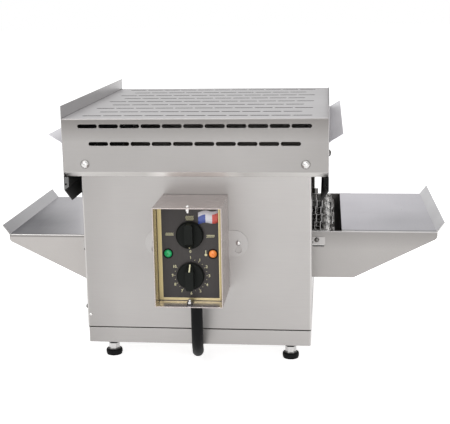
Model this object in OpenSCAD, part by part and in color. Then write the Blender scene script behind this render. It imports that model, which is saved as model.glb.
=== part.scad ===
// Conveyor toaster: a vented hood over a box body, a flat-flex wire belt that runs through it
// between two trays, quartz heating tubes above and below the belt, and a control box hung in front.
// Drawn in machine terms: X = 0 at the middle of the body, Y = 0 at the hood's front face and Z = 0
// at the floor. at_origin() then moves it so that the middle of the footprint is the origin.

/* [Body] */
// Width of the body
body_w = 350; // [330:1:370]
// Depth of the body, front face to rear face
body_d = 436; // [420:1:450]
// Height of the base pan's underside above the floor
foot_h = 31; // [26:1:40]
// Height of the base pan's wall
base_h = 24; // [20:1:30]
// Thickness of the body sheets
sheet = 1.2; // [1:0.1:1.5]

/* [Hood] */
// Width of the hood
hood_w = 400; // [390:1:420]
// Depth of the hood
hood_d = 450; // [440:1:460]
// Height of the hood's top above the floor
hood_top = 385; // [380:1:400]
// Height of the hood's front face
hood_h = 81; // [70:1:85]
// Height of the guard flanges above the hood's top
guard_h = 19; // [10:1:25]
// Length of a vent slot
slot_len = 30; // [20:1:30]
// Width of a vent slot
slot_w = 6; // [4:0.5:7]
// Distance between neighbouring slots
slot_pitch = 32; // [31:0.5:33]

/* [Belt] */
// Height of the belt's top face above the floor
belt_top = 197; // [195:1:199]
// Distance between the belt's rows of wire
belt_pitch = 9; // [9:0.5:10]
// Rows of wire along each straight run
belt_run = 38; // [36:1:38]
// Wire thickness of the belt
wire = 1.2; // [1:0.1:1.3]
// Width of one space between the belt's bends
space_w = 55; // [53:1:55]

/* [Trays] */
// Width of a tray, front wall to rear wall
tray_w = 295; // [290:1:295]
// Depth of a tray's wall at the body
tray_h = 76; // [60:1:78]
// Reach of a tray from its inner end to the bend of its lip
tray_reach = 195; // [180:1:200]
// Length of a tray's top sheet
tray_top = 148; // [130:1:150]
// How much lower the delivery tray hangs than the feed tray
tray_drop = 10; // [8:1:14]

/* [Control box] */
// Width of the control box
box_w = 99; // [95:1:110]
// Height of the control box
box_h = 147; // [140:1:160]
// Depth of the control box
box_d = 96; // [90:1:110]
// How far the control panel lies behind the box's front edge
recess = 30; // [24:1:40]
// Diameter of the knobs
knob_d = 40; // [34:1:42]

/* [Hidden] */
$fn = 48;

steel = [0.73, 0.72, 0.71];
dark_steel = [0.35, 0.34, 0.33];
black = [0.08, 0.08, 0.08];
brass = [0.72, 0.6, 0.32];
ceramic = [0.9, 0.88, 0.82];

gap = 0.3;          // clearance between parts of different bodies
fit = 0.05;         // radial clearance of a running fit
seam = 1;           // open joint between the base pan and the body panels
pan_w = body_w - 2; // the base pan stands in a little from the body's sides
body_y0 = 7;        // the body's front face stands this far behind the hood's
body_y1 = body_y0 + body_d;
body_x = body_w / 2;
body_z0 = foot_h + base_h + seam;
body_z1 = 330;      // the body panels end inside the hood
hood_x = hood_w / 2;
hood_bottom = hood_top - hood_h;
lap = 15;           // return flange of the front and rear panels
side_x = body_x - sheet;   // outer face of the side panels, which lie inside the returns

chamber_x = side_x - sheet;
wall_y0 = 68;       // outer face of the inner front wall
wall_y1 = hood_d - wall_y0;
wall_z0 = 92;
wall_z1 = 299;
tube_r = 5.5;
upper_tube_z = 285;
lower_tube_z = 150;
upper_tube_x = [-120, -60, 0, 60, 120];
lower_tube_x = [-90, -30, 30, 90];

belt_teeth = 8;     // rows of wire round one shaft
belt_r = belt_pitch / (2 * sin(180 / belt_teeth));
hook = 1;           // how far a strand's rows lie past its neighbours' rows
reach = 2;          // a row runs this far past its bend line
stub = 3.4;         // length of the end hook past the belt's edge
post_r = 0.75;      // corner post that joins a row to its link
link_z = wire + 0.15;   // depth of the links below the rows
spaces = 5;
shaft_z = belt_top - belt_r - post_r;
idler_x = 197;
drive_x = idler_x - belt_run * belt_pitch;
belt_y0 = hood_d / 2 - spaces * space_w / 2;
shaft_r = 5;
drum_r = 8.3;
rail_t = 2.5;
rail_y0 = 80;
rail_y1 = hood_d - rail_y0;
rail_r = 12;

chain_pitch = 8;
chain_teeth = 12;
chain_run = 9;
chain_r = chain_pitch / (2 * sin(180 / chain_teeth));
chain_y = 388.5;    // middle plane of the chain
motor_z = shaft_z - chain_run * chain_pitch;

tray_y0 = hood_d / 2 - tray_w / 2;
tray_t = 1;
delivery_shift = 52;   // the delivery tray reaches this far into the body

box_z0 = 122;
box_y1 = 5.5;       // the box's back rests on the hanger plate
box_y0 = box_y1 - box_d;
panel_y = box_y0 + recess;
screw_y = box_y0 + 11;
knob_z = [box_z0 + 101.3, box_z0 + 39.7];
lamp_x = 33;
lamp_z = box_z0 + 72.8;
hanger_z = 193.4;
hang_x = 64.1;      // the hanger plate's two screws
hang_z = hanger_z + 0.9;
foot_x = 142;
foot_y = [40, 410];

// The loop cable's route: down out of the box, back under the body's front edge and up into it.
cable_d = 17.5;
cable_route = [[4.4, -40, 119], [4.4, -40, 92], [4.4, -39.5, 72], [4.2, -37, 58], [3.4, -31.5, 46.5],
    [2.4, -22, 36.5], [1.2, -10, 27.5], [-0.8, 2, 21.5], [-2.2, 12, 18.5], [-4, 24, 17.5], [-5.2, 34, 19],
    [-6, 41, 24], [-6.5, 45, 31.5], [-6.5, 46.5, 38.5], [-6.5, 46.5, 46]];
grommet = [-6.2, 44.4];   // where the loop cable passes up through the base pan

// Middle of the footprint, from the trays' lips and from the box's front to the crumb tray's handle
lip_run = 11;
lip_rise = 15;
feed_tip = side_x + tray_reach + lip_run;
delivery_tip = -(side_x + tray_reach - delivery_shift + lip_run);
handle_y = body_y1 + 17;
mid_x = (feed_tip + delivery_tip) / 2;
mid_y = (box_y0 + handle_y) / 2;

module at_origin() translate([-mid_x, -mid_y, 0]) children();
module both_x() { children(); mirror([1, 0, 0]) children(); }
module both_y() { children(); translate([0, hood_d, 0]) mirror([0, 1, 0]) children(); }

// Profile helpers: a drawing in X and Z pushed back along Y, and one in Y and Z pushed along X
module along_y(y0, y1) translate([0, y1, 0]) rotate([90, 0, 0]) linear_extrude(y1 - y0) children();
module along_x(x0, x1) translate([x0, 0, 0]) rotate([90, 0, 90]) linear_extrude(x1 - x0) children();

// Channel section with rounded bends, closed side on the first axis and open upwards
module rounded_block(w, d, r) {
    translate([-w / 2, r]) square([w, d - r]);
    translate([-w / 2 + r, 0]) square([w - 2 * r, d]);
    for (s = [-1, 1]) translate([s * (w / 2 - r), r]) circle(r);
}
module channel(w, d, t, r) difference() {
    rounded_block(w, d, r);
    translate([0, t]) rounded_block(w - 2 * t, d, r - t);
}

module slot_2d(len, w) {
    square([len - w, w], center = true);
    for (s = [-1, 1]) translate([s * (len - w) / 2, 0]) circle(w / 2, $fn = 24);
}
module slot_row(count) for (i = [0 : count - 1])
    translate([(i - (count - 1) / 2) * slot_pitch, 0]) slot_2d(slot_len, slot_w);

// Domed screw head with its axis along -Y, seated at the origin
module dome(d, h) rotate([90, 0, 0]) rotate_extrude() intersection() {
    translate([0, h - (d * d / 4 + h * h) / (2 * h)]) circle((d * d / 4 + h * h) / (2 * h), $fn = 96);
    square([d / 2, h]);
}
module screw(d, h, shank, len) {
    dome(d, h);
    rotate([-90, 0, 0]) cylinder(r = shank, h = len);
}

/* ---- body ---- */
module base_pan() color(steel) at_origin() difference() {
    translate([0, body_y0 + body_d / 2, foot_h]) difference() {
        linear_extrude(base_h) rounded_plate(pan_w, body_d, 3);
        translate([0, 0, sheet]) linear_extrude(base_h)
            rounded_plate(pan_w - 2 * sheet, body_d - 2 * sheet, 3 - sheet);
    }
    for (x = [-foot_x, foot_x], y = foot_y) translate([x, y, foot_h - 1]) cylinder(r = 4.4, h = 4);
    translate([grommet[0], grommet[1], foot_h]) cylinder(r = 12.8, h = 8, center = true);
}
module rounded_plate(w, d, r) {
    square([w - 2 * r, d], center = true);
    square([w, d - 2 * r], center = true);
    for (x = [-1, 1], y = [-1, 1]) translate([x * (w / 2 - r), y * (d / 2 - r)]) circle(r);
}

// Front or rear panel. Small screws go through its face at face_x and through its flanges at flange_x.
side_screw = [13, 88];   // how far behind the hood's face, and how high
module end_panel(face_x, face_z, flange_x) difference() {
    translate([0, body_y0, body_z0]) linear_extrude(body_z1 - body_z0) channel(body_w, lap + sheet, sheet, 3);
    for (x = [-166, 166]) translate([x, body_y0, hood_bottom + 12])
        rotate([90, 0, 0]) cylinder(r = 2.6, h = 10, center = true);
    for (x = flange_x) translate([x, side_screw[0], side_screw[1]])
        rotate([0, 90, 0]) cylinder(r = 2.1, h = 8, center = true);
    for (x = face_x) translate([x, body_y0, face_z])
        rotate([90, 0, 0]) cylinder(r = 1.6, h = 8, center = true);
}
module body_front() color(steel) at_origin() difference() {
    end_panel([-169.6], 76.2, [-body_x]);
    for (x = [-hang_x, hang_x]) translate([x, body_y0, hang_z])
        rotate([90, 0, 0]) cylinder(r = 2.1, h = 8, center = true);
}
module body_rear() color(steel) at_origin() difference() {
    translate([0, hood_d, 0]) mirror([0, 1, 0]) end_panel([-168, 168], 104, [-body_x, body_x]);
    translate([-160, body_y1 - 5, 59]) cube([320, 10, 27]);
    translate([140, body_y1, 112]) rotate([90, 0, 0]) cylinder(r = 8.2, h = 12, center = true);
    for (k = [0 : 3]) along_y(body_y1 - 5, body_y1 + 5) translate([-30, 150 + 16 * k]) slot_row(5);
}

module side_panel(z0, y0, screws_y) difference() {
    translate([side_x - sheet, body_y0 + 3, body_z0]) cube([sheet, body_d - 6, body_z1 - body_z0]);
    translate([side_x - 5, y0, z0]) cube([10, hood_d - 2 * y0, wall_z1 - 1 - z0]);
    for (y = screws_y) translate([side_x, y, side_screw[1]])
        rotate([0, 90, 0]) cylinder(r = 1.9, h = 8, center = true);
}
module bracket_holes(z) both_y() translate([side_x, 68, z + 6])
    rotate([0, 90, 0]) cylinder(r = 1.6, h = 8, center = true);
module body_left_side() color(steel) at_origin() mirror([1, 0, 0]) difference() {
    side_panel(109, 76, [side_screw[0], hood_d - side_screw[0]]);
    bracket_holes(bracket_z - tray_drop);
}
module body_right_side() color(steel) at_origin() {
    difference() {
        side_panel(165, 79, [hood_d - side_screw[0]]);
        bracket_holes(bracket_z);
    }
    // Lug folded out of the opening's rear edge, which guides slices onto the belt
    translate([side_x - sheet, rail_y1 + 0.1, 174]) cube([8.4, sheet, 32]);
}

module inner_wall() difference() {
    translate([0, wall_y0 + sheet, wall_z0]) mirror([0, 1, 0])
        linear_extrude(wall_z1 - wall_z0) channel(2 * chamber_x, 12, sheet, 2.5);
    for (p = [for (x = upper_tube_x) [x, upper_tube_z], for (x = lower_tube_x) [x, lower_tube_z]])
        translate([p[0], wall_y0, p[1]]) rotate([90, 0, 0]) cylinder(r = 6.5, h = 9, center = true);
}
module inner_front_wall() color(dark_steel) at_origin() inner_wall();
module inner_rear_wall() color(dark_steel) at_origin() difference() {
    translate([0, hood_d, 0]) mirror([0, 1, 0]) inner_wall();
    translate([drive_x, wall_y1, shaft_z]) rotate([90, 0, 0]) cylinder(r = 8, h = 9, center = true);
}

/* ---- hood ---- */
module hood_shell() {
    along_x(1 - hood_x, hood_x - 1) translate([hood_d / 2, hood_top])
        mirror([0, 1]) channel(hood_d, hood_h, 1, 2.5);
    both_y() along_x(1 - hood_x, hood_x - 1)
        polygon([[0, hood_bottom + 1], [1, hood_bottom + 1], [1, hood_bottom], [7, hood_bottom - 7.5],
            [6, hood_bottom - 7.5], [0, hood_bottom]]);
}
module hood_slots_top() translate([0, 0, hood_top - 5]) linear_extrude(10)
    for (k = [0 : 8]) translate([0, 33 + 48 * k]) slot_row(k % 2 == 0 ? 11 : 10);
module hood_slots_front() along_y(-3, hood_d + 3) {
    translate([0, hood_top - 11.7]) slot_row(11);
    translate([0, hood_top - 38.2]) slot_row(10);
}
module hood_cover() color(steel) at_origin() difference() {
    hood_shell();
    hood_slots_top();
    hood_slots_front();
    for (x = [-166, 166]) translate([x, -5, hood_bottom + 12])
        rotate([-90, 0, 0]) cylinder(r = 2.6, h = hood_d + 10);
    both_x() along_y(-1, hood_d + 1)
        polygon([[hood_x, hood_bottom - 9], [hood_x, hood_bottom - 4.5], [hood_x - 4, hood_bottom - 9]]);
}

flap_z = hood_top - 37.5;
side_bottom = hood_bottom - 28;
module hood_side() difference() {
    union() {
        along_y(0, hood_d) {
            polygon([[hood_x, hood_top + guard_h], [hood_x, side_bottom], [hood_x - 11.4, side_bottom - 16],
                [hood_x - 12.2, side_bottom - 15.4], [hood_x - 1, side_bottom + 0.4], [hood_x - 1, hood_top + guard_h]]);
            polygon([[hood_x - 0.5, flap_z], [hood_x + 21, flap_z + 13.2], [hood_x + 20.4, flap_z + 14],
                [hood_x - 0.5, flap_z + 1.2]]);
        }
        both_y() along_y(0, 1) polygon([[hood_x - 1, side_bottom + 0.4], [hood_x - 1, hood_bottom - 8],
            [hood_x - 7.5, hood_bottom - 8], [hood_x - 7.5, side_bottom + 5.4]]);
    }
    both_y() translate([hood_x - 3, 0, hood_bottom - 19])
        rotate([90, 0, 0]) cylinder(r = 1.7, h = 6, center = true);
    both_y() translate([hood_x, 15, hood_top - 54]) rotate([0, 90, 0]) cylinder(r = 2.1, h = 6, center = true);
}
module hood_right_side() color(steel) at_origin() hood_side();
module hood_left_side() color(steel) at_origin() mirror([1, 0, 0]) hood_side();

/* ---- heating ---- */
module upper_reflector() color(dark_steel) at_origin() translate([0, 0, wall_z1 - 1])
    mirror([0, 0, 1]) along_y(wall_y0 + sheet, wall_y1 - sheet) channel(2 * chamber_x, 22, 1, 2.5);
module lower_reflectors() color(steel) at_origin() for (x = lower_tube_x)
    along_y(wall_y0 + sheet, wall_y1 - sheet) translate([x, lower_tube_z]) difference() {
        circle(20);
        circle(19);
        translate([-21, 0]) square([42, 21]);
    }
module tubes(xs, z) for (x = xs) translate([x, wall_y0 - 12, z])
    rotate([-90, 0, 0]) cylinder(r = tube_r, h = hood_d - 2 * wall_y0 + 24);
module tube_caps(xs, z) for (x = xs) both_y() translate([x, wall_y0 - 16, z]) rotate([-90, 0, 0]) difference() {
    cylinder(r = 8, h = 16);
    translate([0, 0, 4]) cylinder(r = tube_r + fit, h = 13);
}
module upper_tubes() color("orange") at_origin() tubes(upper_tube_x, upper_tube_z);
module lower_tubes() color("orange") at_origin() tubes(lower_tube_x, lower_tube_z);
module upper_tube_caps() color(ceramic) at_origin() tube_caps(upper_tube_x, upper_tube_z);
module lower_tube_caps() color(ceramic) at_origin() tube_caps(lower_tube_x, lower_tube_z);

/* ---- belt and drive ---- */
// Joint i of an endless track: two straight runs of n pitches between two wheels of t teeth.
// Gives the joint's place [along, up] from the first wheel's centre.
function wheel_r(t, p) = p / (2 * sin(180 / t));
function track_joint(i, n, t, p) =
    i <= n ? [i * p, wheel_r(t, p)]
    : i < n + t / 2 ? [n * p + wheel_r(t, p) * sin((i - n) * 360 / t), wheel_r(t, p) * cos((i - n) * 360 / t)]
    : i <= 2 * n + t / 2 ? [(2 * n + t / 2 - i) * p, -wheel_r(t, p)]
    : [-wheel_r(t, p) * sin((i - 2 * n - t / 2) * 360 / t), -wheel_r(t, p) * cos((i - 2 * n - t / 2) * 360 / t)];

// One strand of flat-flex wire: a square wave of rows, joined by slanted links that pass under the
// neighbouring strands' rows. The corner posts hook behind those rows, so the strands hold each
// other and can turn on each other. X is the belt's travel and Y its width.
function row_x(k) = k % 2 == 0 ? -hook : belt_pitch + hook;
module bar(a, b, w) translate(a) rotate(atan2(b[1] - a[1], b[0] - a[0]))
    translate([0, -w / 2]) square([norm(b - a), w]);
module strand() {
    translate([0, 0, -wire / 2]) linear_extrude(wire) {
        for (k = [0 : spaces - 1])
            bar([row_x(k), k * space_w - reach], [row_x(k), (k + 1) * space_w + reach], wire);
        bar([row_x(1), -stub], [row_x(1), reach], wire);
        bar([row_x(1), spaces * space_w - reach], [row_x(1), spaces * space_w + stub], wire);
    }
    translate([0, 0, -link_z - wire / 2]) linear_extrude(wire) for (k = [0 : spaces])
        bar([row_x(k + 1), k * space_w + reach], [row_x(k), k * space_w - reach], wire);
    translate([0, 0, -link_z - post_r]) linear_extrude(link_z + 2 * post_r) for (k = [0 : spaces]) {
        translate([row_x(k + 1), k * space_w + reach]) circle(post_r, $fn = 16);
        translate([row_x(k), k * space_w - reach]) circle(post_r, $fn = 16);
    }
}
module mesh_belt() color("silver") at_origin() for (i = [0 : 2 * belt_run + belt_teeth - 1]) {
    a = track_joint(i, belt_run, belt_teeth, belt_pitch);
    b = track_joint(i + 1, belt_run, belt_teeth, belt_pitch);
    translate([drive_x + a[0], belt_y0, shaft_z + a[1]])
        rotate([0, -atan2(b[1] - a[1], b[0] - a[0]), 0]) strand();
}

// Toothed ring that drives the belt's rows
module belt_ring(y) translate([0, y - 1.5, 0]) rotate([-90, 0, 0]) linear_extrude(3) {
    circle(9.6);
    for (i = [0 : belt_teeth - 1]) rotate((i + 0.5) * 360 / belt_teeth) {
        translate([0, -1.2]) square([11.4, 2.4]);
        translate([11.4, 0]) circle(1.2, $fn = 16);
    }
}
module belt_shaft(y_end) {
    rotate([-90, 0, 0]) {
        translate([0, 0, rail_y0 - 1]) cylinder(r = shaft_r, h = y_end - rail_y0 + 1);
        translate([0, 0, rail_y0 + rail_t + 2]) cylinder(r = drum_r, h = hood_d - 2 * (rail_y0 + rail_t + 2));
    }
    for (k = [0 : spaces - 1]) belt_ring(belt_y0 + (k + 0.5) * space_w);
}
module drive_shaft() color("silver") at_origin() translate([drive_x, 0, shaft_z]) belt_shaft(chain_y + 6);
module idler_shaft() color("silver") at_origin() translate([idler_x, 0, shaft_z]) belt_shaft(rail_y1 + 1);

module rail_outline() difference() {
    union() {
        translate([drive_x, shaft_z - rail_r]) square([idler_x - drive_x, 2 * rail_r]);
        for (x = [drive_x, idler_x]) translate([x, shaft_z]) circle(rail_r);
        translate([-118, 163]) square([286, 20]);
    }
    for (x = [drive_x, idler_x]) translate([x, shaft_z]) circle(6.5);
}
module belt_rail_front() color(steel) at_origin() along_y(rail_y0, rail_y0 + rail_t) rail_outline();
module belt_rail_rear() color(steel) at_origin() along_y(rail_y1 - rail_t, rail_y1) rail_outline();
module shaft_bushes() color(brass) at_origin() for (x = [drive_x, idler_x]) both_y()
    translate([x, rail_y0, shaft_z]) rotate([-90, 0, 0]) difference() {
        union() {
            cylinder(r = 6.5, h = rail_t);
            translate([0, 0, rail_t]) cylinder(r = 7.6, h = 1.2);
        }
        translate([0, 0, -1]) cylinder(r = shaft_r + fit, h = 6);
    }
bar_r = 2;
top_bar_z = shaft_z + belt_r - link_z - post_r - bar_r;
low_bar_z = shaft_z - belt_r - post_r - bar_r;
module belt_slide_bars() color("silver") at_origin() {
    for (x = [-105, -55, -5, 45, 95, 145]) cross_bar(x, top_bar_z);
    for (x = [-105, 20, 145]) cross_bar(x, low_bar_z);
}
module cross_bar(x, z) translate([x, rail_y0 + rail_t, z])
    rotate([-90, 0, 0]) cylinder(r = bar_r, h = hood_d - 2 * (rail_y0 + rail_t));
module rail_spacers() color(steel) at_origin() for (x = [-110, 0, 110]) both_y()
    translate([x, wall_y0 + sheet, 177]) rotate([-90, 0, 0]) cylinder(r = 5, h = rail_y0 - wall_y0 - sheet);

// Chain wheel: a disc with a round seat for each roller
roller_r = 2.5;
module chain_wheel(bore) difference() {
    circle(chain_r + 0.2);
    for (i = [0 : chain_teeth - 1]) rotate(i * 360 / chain_teeth)
        translate([chain_r, 0]) circle(roller_r + 0.35, $fn = 24);
    if (bore > 0) circle(bore);
}
module wheel_at(z, bore) translate([drive_x, chain_y + 1.3, z]) rotate([90, 0, 0])
    linear_extrude(2.6) chain_wheel(bore);
module chain_sprocket() color(dark_steel) at_origin() wheel_at(shaft_z, shaft_r + fit);
module motor_sprocket() color(dark_steel) at_origin() {
    wheel_at(motor_z, 0);
    translate([drive_x, chain_y + 1, motor_z]) rotate([-90, 0, 0]) cylinder(r = 4, h = 20);
}

// Roller chain of alternating inner and outer links, hung between the two wheels
chain_links = 2 * chain_run + chain_teeth;
function chain_joint(i) = track_joint(i, chain_run, chain_teeth, chain_pitch);
module link_plate(i, r) {
    a = chain_joint(i);
    b = chain_joint(i + 1);
    translate(a) rotate(atan2(b[1] - a[1], b[0] - a[0])) {
        translate([0, -2]) square([chain_pitch, 4]);
        for (x = [0, chain_pitch]) translate([x, 0]) circle(r, $fn = 24);
    }
}
module plate_pair(z, first, r) for (s = [0, 1]) mirror([0, 0, s]) translate([0, 0, z])
    linear_extrude(0.8) for (i = [first : 2 : chain_links - 1]) link_plate(i, r);
module drive_chain() color("dimgray") at_origin() translate([drive_x, chain_y, shaft_z]) rotate([90, 90, 0]) {
    linear_extrude(3.2, center = true)
        for (i = [0 : chain_links - 1]) translate(chain_joint(i)) circle(roller_r, $fn = 24);
    plate_pair(1.6, 0, 3);
    plate_pair(2.5, 1, 2.8);
    linear_extrude(7.2, center = true)
        for (i = [0 : chain_links - 1]) translate(chain_joint(i)) circle(1.2, $fn = 16);
}
gearbox_y = 398;
module gear_motor() color(dark_steel) at_origin() difference() {
    union() {
        translate([drive_x - 25, gearbox_y, motor_z - 20]) cube([51, 40, 40]);
        translate([drive_x + 26, gearbox_y + 20, motor_z]) rotate([0, 90, 0]) cylinder(r = 12, h = 8);
        translate([drive_x + 34, gearbox_y + 20, motor_z]) rotate([0, 90, 0]) cylinder(r = 20, h = 80);
        translate([drive_x + 114, gearbox_y + 20, motor_z]) rotate([0, 90, 0]) cylinder(r = 15, h = 6);
    }
    translate([drive_x, gearbox_y - 1, motor_z]) rotate([-90, 0, 0]) cylinder(r = 4 + fit, h = 13);
    for (x = [-21.5, 21.5], z = [-14, 14]) translate([drive_x + x, gearbox_y - 1, motor_z + z])
        rotate([-90, 0, 0]) cylinder(r = 2, h = 9);
}
module motor_posts() color("silver") at_origin() for (x = [-21.5, 21.5], z = [-14, 14])
    translate([drive_x + x, wall_y1, motor_z + z]) rotate([-90, 0, 0]) {
        cylinder(r = 2.8, h = gearbox_y - wall_y1);
        cylinder(r = 1.95, h = gearbox_y - wall_y1 + 7);
    }

/* ---- trays ---- */
// Side view of a tray, its inner end at 0: a level top, a sloping outer floor and a flat inner one
tray_slope = 26.6;
tip_r = 7;
floor_r = 9;
function arc(c, r, a0, a1) = [for (k = [0 : 6]) c + r * [cos(a0 + (a1 - a0) * k / 6), sin(a0 + (a1 - a0) * k / 6)]];
function tray_outline(run, inset) = let (
        tip = [run - tip_r, -tip_r],
        drop = tray_h - tip_r - tip_r * cos(tray_slope),
        floor_x = tip[0] + tip_r * sin(tray_slope) - drop / tan(tray_slope) - floor_r * tan(tray_slope / 2),
        start = inset > 0 ? -1 : 0)
    concat([[start, -inset], [run - inset, -inset]],
        arc(tip, tip_r - inset, 0, tray_slope - 90),
        arc([floor_x, floor_r - tray_h], floor_r - inset, tray_slope - 90, -90),
        [[start, inset - tray_h]]);
module tray_block(run, inset) intersection() {
    along_y(tray_y0, tray_y0 + tray_w) polygon(tray_outline(run, inset));
    along_x(-2, run + 1) translate([hood_d / 2, 0]) mirror([0, 1])
        translate([0, inset]) rounded_block(tray_w - 2 * inset, 2 * tray_h, 2.5 - inset);
}
module tray(run) {
    difference() {
        tray_block(run, 0);
        tray_block(run, tray_t);
        translate([-1, tray_y0 + tray_t, -5]) cube([max(run - tray_top, 0) + 1, tray_w - 2 * tray_t, 10]);
        both_y() translate([-1, tray_y0 - 1, bracket_z - belt_top - 3.3]) cube([20.7, 3, 3.3]);
        both_y() translate([bracket_screw[0], tray_y0, bracket_z - belt_top + bracket_screw[1]])
            rotate([90, 0, 0]) cylinder(r = 2.1, h = 4, center = true);
    }
    translate([run - tray_top, tray_y0 + 1, -tray_t]) cube([20, tray_w - 2, tray_t]);
    along_y(tray_y0, tray_y0 + tray_w) polygon([[run - 1.6, -1.5], [run - 0.3, -1.5],
        [run + lip_run, lip_rise - 0.7], [run + lip_run - 1, lip_rise], [run - 1.6, -0.2]]);
}
module feed_tray() color(steel) at_origin() translate([side_x, 0, belt_top]) tray(tray_reach);
module delivery_tray() color(steel) at_origin() mirror([1, 0, 0])
    translate([side_x, 0, belt_top - tray_drop]) tray(tray_reach - delivery_shift);
// Angle bracket that lies flat on the tray's wall and is screwed to the body's side. Below it the
// wall is notched, so that the tray can be slipped off.
bracket_z = 174.6;
bracket_screw = [7.9, 7.7];   // place of the tray's screw on the bracket
module tray_bracket(z) both_y() difference() {
    translate([side_x, 0, z]) linear_extrude(12.2) {
        translate([0, 64]) square([sheet, tray_y0 - 64]);
        translate([0, tray_y0 - sheet]) square([20.9, sheet]);
    }
    translate([side_x + bracket_screw[0], tray_y0, z + bracket_screw[1]])
        rotate([90, 0, 0]) cylinder(r = 2.1, h = 6, center = true);
    translate([side_x, 68, z + 6]) rotate([0, 90, 0]) cylinder(r = 1.6, h = 6, center = true);
}
module tray_brackets() color(steel) at_origin() {
    tray_bracket(bracket_z);
    mirror([1, 0, 0]) tray_bracket(bracket_z - tray_drop);
}

crumb_x = 158;
module crumb_tray() color(steel) at_origin() {
    translate([-crumb_x, 74, foot_h + 30.3]) difference() {
        cube([2 * crumb_x, body_y1 + gap - 74, 20]);
        translate([1, 1, 1]) cube([2 * crumb_x - 2, body_y1 + gap - 75, 20]);
    }
    translate([-164, body_y1 + gap, 57]) cube([328, sheet, 33]);
    along_x(-50, 50) polygon([[body_y1 + gap, 88.8], [handle_y, 88.8], [handle_y, 80], [handle_y - sheet, 80],
        [handle_y - sheet, 87.6], [body_y1 + gap, 87.6]]);
}
module crumb_guides() color(steel) at_origin() both_x() along_y(30, body_y1 - lap - 3) {
    translate([151, 59.8]) square([side_x - sheet - 151, sheet]);
    translate([side_x - 2 * sheet, 59.8]) square([sheet, 16]);
}

/* ---- control box ---- */
module control_box() color(steel) at_origin() difference() {
    translate([-box_w / 2, box_y0, box_z0]) cube([box_w, box_d, box_h]);
    translate([-box_w / 2 + sheet, box_y0 - 1, box_z0 + sheet])
        cube([box_w - 2 * sheet, box_d + 1 - sheet, box_h - 2 * sheet]);
    for (z = [box_z0, box_z0 + box_h]) translate([0, screw_y, z]) cylinder(r = 2.1, h = 8, center = true);
    for (x = [-30, 30]) translate([x, box_y1, hanger_z + 12])
        rotate([90, 0, 0]) cylinder(r = 2.1, h = 8, center = true);
    translate([cable_route[0][0], cable_route[0][1], box_z0]) cylinder(r = 9.2, h = 8, center = true);
}
module control_panel() color([0.2, 0.2, 0.21]) at_origin() difference() {
    union() {
        translate([-box_w / 2 + sheet, panel_y, box_z0 + sheet]) cube([box_w - 2 * sheet, 2, box_h - 2 * sheet]);
        for (z = [box_z0 + sheet, box_z0 + box_h - sheet - 1.5])
            translate([-4, screw_y - 5, z]) cube([8, panel_y - screw_y + 6, 1.5]);
    }
    for (z = [box_z0, box_z0 + box_h]) translate([0, screw_y, z]) cylinder(r = 2.1, h = 8, center = true);
    for (z = knob_z) translate([0, panel_y, z]) rotate([90, 0, 0]) cylinder(r = 4.2, h = 9, center = true);
    for (x = [-lamp_x, lamp_x]) translate([x, panel_y, lamp_z])
        rotate([90, 0, 0]) cylinder(r = 5, h = 9, center = true);
}
// Round knob with a bar grip across it. One end of the bar slopes down to the rim as a pointer, and
// lies at turn degrees, clockwise from the top.
module knob(z, turn) translate([0, panel_y - gap, z]) rotate([90, -turn, 0]) difference() {
    union() {
        cylinder(d = knob_d, h = 5.5);
        translate([0, 0, 5.5]) cylinder(d1 = knob_d, d2 = knob_d - 3, h = 1.5);
        intersection() {
            cylinder(d = knob_d - 3, h = 19);
            translate([0, 0, 12]) linear_extrude(24, center = true) slot_grip();
        }
    }
    rotate([90, 0, 90]) linear_extrude(14, center = true)
        polygon([[10, 19], [19, 7], [21, 7], [21, 20], [10, 20]]);
    translate([0, 0, -1]) cylinder(r = 3 + fit, h = 13);
}
module slot_grip() {
    square([12, knob_d - 10], center = true);
    for (s = [-1, 1]) translate([0, s * (knob_d / 2 - 6.5)]) circle(6);
}
module spindle(z) translate([0, panel_y - 10, z]) rotate([-90, 0, 0]) cylinder(r = 3, h = 20);
module switch_body(z, w, h, d) difference() {
    union() {
        translate([-w / 2, panel_y + 2 + gap, z - h / 2]) cube([w, d, h]);
        translate([0, panel_y + gap, z]) rotate([-90, 0, 0]) cylinder(r = 4.1, h = 3);
    }
    translate([0, panel_y - 1, z]) rotate([-90, 0, 0]) cylinder(r = 3 + fit, h = 14);
}
module selector_knob() color(black) at_origin() knob(knob_z[0], 180);
module speed_knob() color(black) at_origin() knob(knob_z[1], 0);
module selector_spindle() color("silver") at_origin() spindle(knob_z[0]);
module speed_spindle() color("silver") at_origin() spindle(knob_z[1]);
module selector_switch() color(ceramic) at_origin() switch_body(knob_z[0], 44, 44, 38);
module speed_regulator() color(black) at_origin() switch_body(knob_z[1], 40, 32, 30);

module lamp(x) translate([x, panel_y, lamp_z]) {
    dome(12, 4);
    rotate([-90, 0, 0]) cylinder(r = 4.9, h = 16);
}
module green_lamp() color("green") at_origin() lamp(-lamp_x);
module orange_lamp() color("orange") at_origin() lamp(lamp_x);

// A screw through the box's top wall and one through its floor hold the panel's tabs
module box_screws() color("silver") at_origin() for (m = [0, 1])
    translate([0, screw_y, box_z0 + box_h / 2]) mirror([0, 0, m]) translate([0, 0, box_h / 2]) {
        rotate([-90, 0, 0]) dome(6.4, 2.2);
        translate([0, 0, -9]) cylinder(r = 2, h = 9.5);
        translate([0, 0, -sheet - 1.5 - 3.2]) cylinder(d = 8, h = 3.2, $fn = 6);
    }

module keyhole() {
    circle(5.2);
    translate([-2.2, 0]) square([4.4, 10.9]);
    translate([0, 10.9]) circle(2.2, $fn = 24);
}
module hanger_plate() color(steel) at_origin() along_y(box_y1, body_y0) translate([0, hanger_z]) difference() {
    slot_2d(157, 40.7);
    for (x = [-hang_x, hang_x]) translate([x, -10]) keyhole();
    for (x = [-30, 30]) translate([x, 12]) circle(2.1, $fn = 24);
}

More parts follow.
